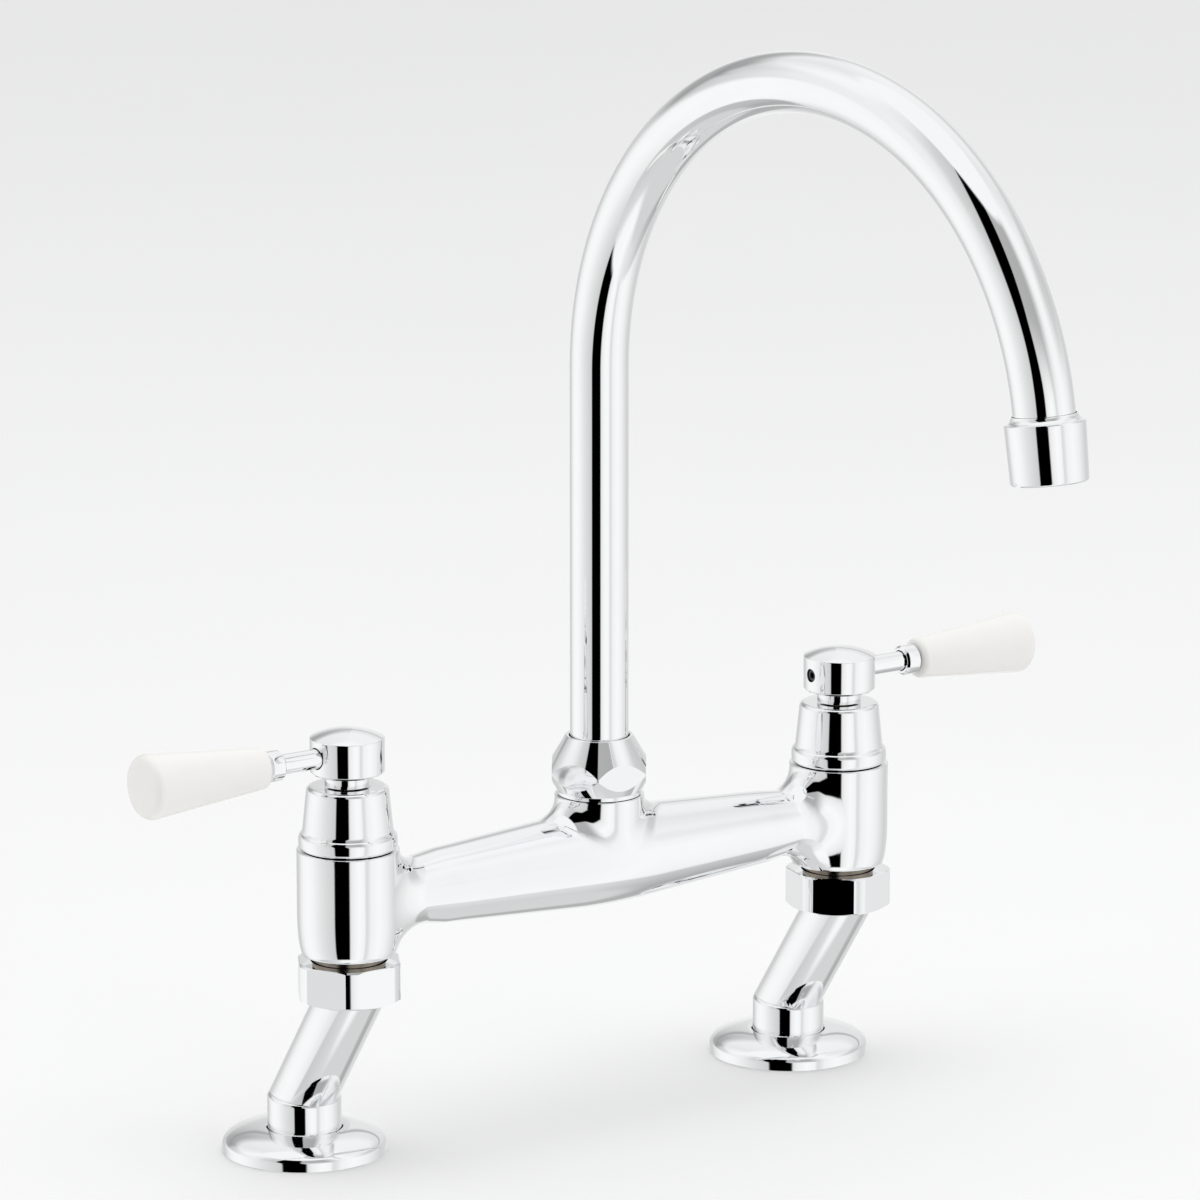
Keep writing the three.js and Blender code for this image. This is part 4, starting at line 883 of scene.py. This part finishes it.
# %% Camera
AZIMUTH, PITCH, DISTANCE = math.radians(-35.05), math.radians(12.97), 2.32302
PICTURE, FOCAL = 1200, 6921  # the picture's width and the focal length, both in its pixels
AIM, AIM_ACROSS, AIM_DOWN = Vector((0, -0.028, 0.0595)), 599.31, 947.57  # and the aim's pixel
SENSOR = 36

level_ahead = Vector((-math.sin(AZIMUTH), math.cos(AZIMUTH), 0))
ahead = level_ahead * math.cos(PITCH) - Vector((0, 0, math.sin(PITCH)))
right = Vector((math.cos(AZIMUTH), math.sin(AZIMUTH), 0))
up = right.cross(ahead)
aside, below = (AIM_ACROSS - PICTURE / 2) / FOCAL, (AIM_DOWN - PICTURE / 2) / FOCAL
stand = AIM - DISTANCE * (ahead + right * aside - up * below)

camera = bpy.data.objects.new("camera", bpy.data.cameras.new("camera"))
bpy.context.scene.collection.objects.link(camera)
camera.matrix_world = Matrix.Translation(stand) @ Matrix((right, up, -ahead)).transposed().to_4x4()
camera.data.sensor_width = SENSOR
camera.data.lens = SENSOR * FOCAL / PICTURE
bpy.context.scene.camera = camera
print("camera at", tuple(round(v, 3) for v in stand))

# %% [markdown]
# ## The floor
#
# The tap stands on plain pale paper. A Shadow Catcher would leave the picture's background empty,
# so the floor is a real grid with a matt finish, so large that its edge is far off. Chrome doesn't
# see it: what a reflection finds below the horizon is set with the light, in the next steps.

# %% Floor
floor = bmesh.new()
bmesh.ops.create_grid(floor, x_segments=2, y_segments=2, size=30)
data = bpy.data.meshes.new("floor")
floor.to_mesh(data)
floor_object = bpy.data.objects.new("floor", data)
bpy.context.scene.collection.objects.link(floor_object)


def floor_finish(shader, place):
    cloud = shader.node("ShaderNodeTexNoise", None, {"Vector": place, "Scale": 3.0})
    return {
        "Base Color": shader.blend(cloud, (0.96, 0.96, 0.96), (0.98, 0.98, 0.98)),
        "Roughness": 0.8 + cloud * 0.1,
    }


floor_object.data.materials.append(surface("floor", {"Specular IOR Level": 0.0}, floor_finish))
floor_object.visible_glossy = False

# %% [markdown]
# ## The studio
#
# Chrome shows only what is round it, so the light is most of the picture. A product studio is a
# pale room round a pale table, with one dark gap in front of the tap that gives every upright
# cylinder its black stripe. The room could be built from lit cards, but a card near the tap shines
# on it unevenly. Instead the room is painted on the world by direction alone: each strip of it is
# a ring of brightness steps round the tap, and the strips are blended by height.

# %% Directions
world = bpy.data.worlds.new("studio")
bpy.context.scene.world = world
studio = Shader(world)
direction = studio.node("ShaderNodeTexCoord")
toward = -level_ahead  # from the tap to the camera, level


def along(axis):
    """How far a direction points along an axis, from -1 to 1."""
    product = {"operation": "DOT_PRODUCT"}
    return studio.node("ShaderNodeVectorMath", product, {0: direction, 1: tuple(axis)}, 1)


def rising(value, start, end):
    """0 below start, 1 above end."""
    limits = {"Value": value, "From Min": start, "From Max": end}
    return studio.node("ShaderNodeMapRange", {"interpolation_type": "SMOOTHSTEP"}, limits)


# The studio's upper part stands a few degrees further to the left than the table.
UPPER_TURN = 9
height = studio.maths("ARCSINE", along((0, 0, 1))) * math.degrees(1)
turn = studio.maths("ARCTAN2", along(right), along(toward)) / math.tau + 0.5
turn = turn + rising(height, 6, 26) * (UPPER_TURN / 360)

# %% [markdown]
# ### The table, the floor before it and the walls
#
# `ring` writes one strip as a colour ramp. The table is seen in everything that leans down a
# little, the nearer floor in the undersides, and the walls in what leans up. All three are bright
# at the sides and greyer in front and behind, with the dark gap from 30 degrees left of the camera
# to 4 degrees right of it.

# %% Table, floor and walls
def ring(*stops):
    """The studio's brightness round the tap: (degrees to the right of the camera, brightness)."""
    ramp = [(degrees / 360 + 0.5, (bright, bright, bright, 1)) for degrees, bright in stops]
    return studio.node("ShaderNodeValToRGB", {"stops": ramp}, {"Fac": turn})


table = ring(
    (-180, 0.88), (-168, 0.70), (-156, 0.60), (-144, 0.63), (-132, 0.80), (-118, 0.93), (-100, 0.96),
    (-84, 0.92), (-60, 0.77), (-30, 0.62), (-28, 0.0), (4, 0.0), (6, 0.76), (12, 0.87), (26, 0.97),
    (38, 0.92), (42, 0.73), (46, 0.74), (54, 0.90), (75, 0.96), (96, 0.89), (120, 0.72), (134, 0.63),
    (156, 0.69), (170, 0.80), (180, 0.88),
)
near_floor = ring(
    (-180, 0.46), (-140, 0.42), (-128, 0.42), (-115, 0.50), (-60, 0.62), (-34, 0.70), (-15, 0.94),
    (24, 0.97), (45, 0.82), (75, 0.72), (105, 0.54), (130, 0.42), (180, 0.46),
)
walls = ring(
    (-180, 0.90), (-150, 0.84), (-135, 0.80), (-118, 0.86), (-100, 0.94), (-84, 0.92), (-66, 0.82),
    (-52, 0.66), (-32, 0.57), (-30, 0.0), (4, 0.0), (6, 0.44), (44, 0.42), (54, 0.62), (66, 0.88),
    (84, 0.94), (112, 0.84), (130, 0.80), (150, 0.88), (180, 0.90),
)
light = studio.blend(rising(height, -44, -40), near_floor, table)

# %% [markdown]
# ### Under the tap
#
# Straight below, the tap sees the table in its own shade. `reach` is how far in front of the tap
# a downward look meets the table, as a share of the height, so the shade has a straight edge.

# %% Shade
reach = along(toward) / studio.maths("MAXIMUM", 0.01, 0 - along((0, 0, 1)))
beneath = (1 - rising(reach, 0.28, 0.46)) * (1 - rising(height, -58, -52))
light = studio.blend(beneath, light, (0.66, 0.66, 0.66))
light = studio.blend(rising(height, 4, 32), light, walls)

# %% [markdown]
# ### Low behind the tap
#
# The flanges and the top of the arm lean back, so they show what stands low behind the tap. It is
# darker than the rest of the room, as if a low grey wall stood there from 5 to 38 degrees up. A
# thin darker seam runs across it, which draws a fine line along the arm and round the flanges.

# %% Low wall and seam
low_wall = ring(
    (-180, 0.78), (-168, 0.60), (-156, 0.42), (-132, 0.35), (-122, 0.60), (-106, 0.72), (-94, 0.86),
    (-60, 0.88), (60, 0.95), (84, 0.92), (98, 0.78), (110, 0.64), (130, 0.58), (144, 0.70), (168, 0.76),
    (180, 0.78),
)
beyond = 1 - rising(along(toward), 0.15, 0.45)
band = rising(height, 5, 14) * (1 - rising(height, 26, 38)) * beyond
light = studio.blend(band, light, low_wall)
behind = 1 - rising(along(toward), -0.75, -0.45)
seam = rising(height, 19, 21.5) * (1 - rising(height, 21.5, 24)) * behind
light = studio.blend(seam * 0.7, light, (0.30, 0.31, 0.33))

# %% [markdown]
# ### Overhead
#
# A plain ceiling closes the room. The background that the camera sees directly is white, as in a
# cut-out picture, and a large soft lamp overhead gives the handles and the floor their shading.
# The lamp is kept out of the reflections, where it would show as a disc.

# %% Ceiling, background and lamp
light = studio.blend(rising(height, 57, 62), light, (0.93, 0.935, 0.94))
camera_ray = studio.node("ShaderNodeLightPath")
light = studio.blend(camera_ray, light, (1.0, 1.0, 1.0))
glow = studio.node("ShaderNodeBackground", None, {"Color": light, "Strength": 1.06})
studio.node("ShaderNodeOutputWorld", None, {"Surface": glow})

lamp = bpy.data.objects.new("softbox", bpy.data.lights.new("softbox", "AREA"))
bpy.context.scene.collection.objects.link(lamp)
lamp.matrix_world = Matrix.Translation((-0.4, -0.8, 2.6))
lamp.data.shape, lamp.data.size = "DISK", 3.0
lamp.data.energy = 22
lamp.visible_glossy = False
bpy.context.scene.view_settings.view_transform = "Standard"
print("the studio has", len(studio.tree.nodes), "nodes")
